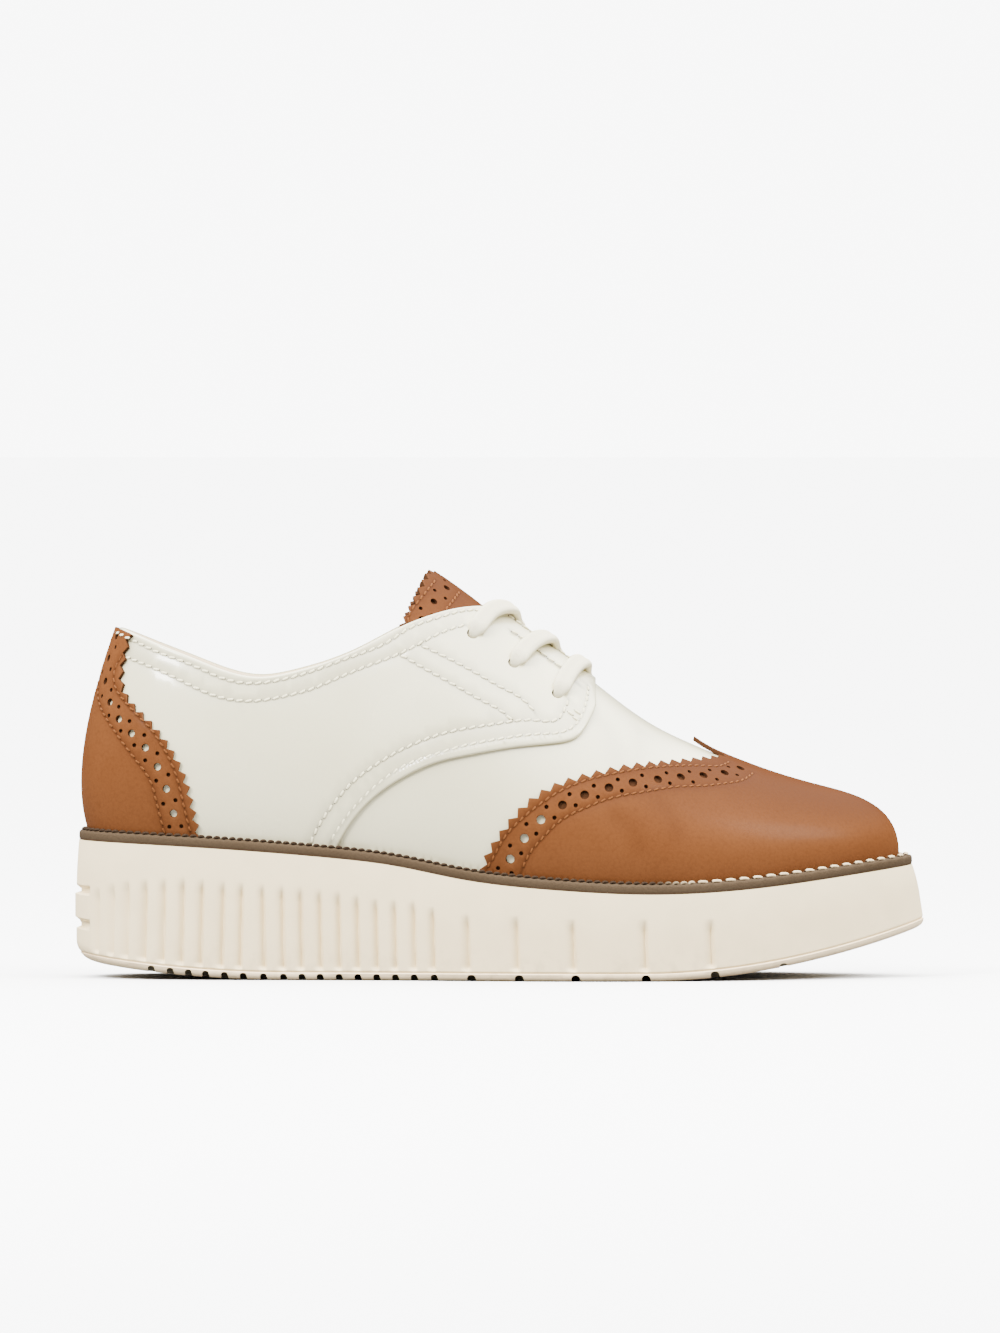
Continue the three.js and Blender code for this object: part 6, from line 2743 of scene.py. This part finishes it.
    def build_sock(self) -> bpy.types.Object:
        """Makes the sock that covers the insole, dished a little towards its middle.

        Returns:
            The piece.
        """
        half = np.linspace(0, self.last.half_turn, 120)
        shares = np.linspace(0, 1, 25)
        out = -self.wall - 0.6
        inner, _ = self.last.outline(half, out)
        outer, _ = self.last.outline(-half, out)
        flat = inner[:, None, :] * (1 - shares)[None, :, None] + outer[:, None, :] * shares[None, :, None]
        edge = np.abs(2 * shares - 1) ** 6
        z = self.last.welt_top(flat[..., 0]) + self.last.gap
        ends = np.minimum(1, np.minimum(half, self.last.half_turn - half) / 12)[:, None]
        top = z + 3.0 - 0.5 * (1 - edge)[None, :] * ends
        maker = MeshMaker("insole_sock")
        upper = np.concatenate([flat, top[..., None]], -1)
        lower = np.concatenate([flat, z[..., None]], -1)
        maker.add_grid(upper[:, ::-1], False)
        maker.add_grid(lower, False)
        for column, flip in ((0, False), (-1, True)):
            wall = np.stack([upper[:, column], lower[:, column]], 1)
            maker.add_grid(wall[:, ::-1] if flip else wall, False)
        piece = maker.build(merge=0.01)
        self.finishes.dress(piece, "sock")
        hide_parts("insole")
        return piece


@dataclass
class Studio:
    """The pale floor, the soft lights and the camera."""

    distance: float = 5.0
    elevation: float = 1.0
    frame_height: float = 0.4359
    aim: tuple[float, float, float] = (-0.0001, 0.0, 0.1014)
    sensor: float = 36.0
    floor_bounce: float = 0.17
    floor_seen: float = 1.0
    sky_low: float = 0.4
    sky_high: float = 12.4
    backdrop: float = 8.65

    def build_camera(self) -> None:
        """Places the camera on the shoe's outer side, level with the photograph's."""
        camera = bpy.data.cameras.new("camera")
        camera.sensor_width = self.sensor
        camera.lens = self.sensor * self.distance / self.frame_height
        camera.clip_end = 50.0
        made = bpy.data.objects.new("camera", camera)
        bpy.context.scene.collection.objects.link(made)
        lift = math.radians(self.elevation)
        back = Vector((0.0, -math.cos(lift), math.sin(lift)))
        made.location = Vector(self.aim) + back * self.distance
        made.rotation_mode = "QUATERNION"
        made.rotation_quaternion = (-back).to_track_quat("-Z", "Y")
        bpy.context.scene.camera = made

    def build_floor(self) -> None:
        """Makes the floor: as bright as the backdrop to look at, but a paler bounce of light on the shoe."""
        size = 60.0
        points = [(-size, -size, 0.0), (size, -size, 0.0), (size, size, 0.0), (-size, size, 0.0)]
        mesh = bpy.data.meshes.new("floor")
        mesh.from_pydata(points, [], [(0, 1, 2, 3)])
        floor = bpy.data.objects.new("floor", mesh)
        bpy.context.scene.collection.objects.link(floor)
        graph, shader = new_material("floor_paint")
        seen = graph.add("ShaderNodeLightPath").outputs["Is Camera Ray"]
        bounce, plain = [shade(tone, tone, tone) for tone in (self.floor_bounce, self.floor_seen)]
        graph.feed(shader.inputs["Base Color"], graph.tint(seen, bounce, plain))
        shader.inputs["Roughness"].default_value = 0.9
        shader.inputs["Specular IOR Level"].default_value = 0.0
        mesh.materials.append(graph.owner)

    def build_sky(self) -> None:
        """Makes the soft light all round, brightest overhead, before a plain pale backdrop."""
        world = bpy.data.worlds.new("studio")
        world.use_nodes = True
        graph = Graph(world.node_tree)
        place = graph.add("ShaderNodeTexCoord").outputs["Generated"]
        light = graph.spread(graph.part(place, "Z"), 0.25, 0.95, self.sky_low, self.sky_high)
        seen = graph.add("ShaderNodeLightPath").outputs["Is Camera Ray"]
        share = graph.product(seen, self.backdrop)
        light = graph.math("MULTIPLY_ADD", light, graph.math("SUBTRACT", 1.0, seen), share)
        background = world.node_tree.nodes["Background"]
        background.inputs["Color"].default_value = (0.995, 1.0, 1.0, 1.0)
        graph.feed(background.inputs["Strength"], light)
        bpy.context.scene.world = world

    def add_light(
        self, name: str, place: tuple[float, float, float], size: tuple[float, float], watts: float
    ) -> None:
        """Adds a soft box that faces the shoe.

        Args:
            name: its name.
            place: where it stands, in metres.
            size: its width and height, in metres.
            watts: its power.
        """
        light = bpy.data.lights.new(name, "AREA")
        light.shape = "RECTANGLE"
        light.size, light.size_y = size
        light.energy = watts
        made = bpy.data.objects.new(name, light)
        made.location = place
        made.rotation_mode = "QUATERNION"
        made.rotation_quaternion = (Vector((0.0, 0.0, 0.06)) - Vector(place)).to_track_quat("-Z", "Y")
        bpy.context.scene.collection.objects.link(made)

    def build_lights(self) -> None:
        """Adds the key light, high on the left, and the soft box whose reflection lies on the toe."""
        self.add_light("key_box", (-0.95, -1.15, 1.15), (0.5, 0.5), 62.0)
        self.add_light("toe_box", (1.35, -0.6, 1.15), (0.6, 0.6), 30.0)


def main() -> None:
    """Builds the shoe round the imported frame, and reports each piece."""
    logging.basicConfig(level=logging.INFO, format="%(message)s")
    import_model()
    studio = Studio()
    studio.build_camera()
    studio.build_floor()
    studio.build_sky()
    studio.build_lights()
    last = Last()
    finishes = Finishes(Effects())
    pattern = Pattern(last)
    uppers = UpperSet(last, pattern, finishes)
    sole = SoleSet(last, finishes)
    steps: list[Callable[[], object]] = [
        sole.build_platform,
        sole.build_tread,
        sole.build_welt,
        sole.build_welt_stitches,
        sole.build_sock,
        uppers.build_upper,
        uppers.build_quarters,
        uppers.build_counter,
        uppers.build_wing,
        uppers.build_tongue,
        uppers.build_stitches,
        Laces(last, finishes).build,
    ]
    for step in steps:
        made = step()
        for piece in made if isinstance(made, list) else [made]:
            LOG.info("%s: %d faces", piece.name, len(piece.data.polygons))


if __name__ == "__main__":
    main()
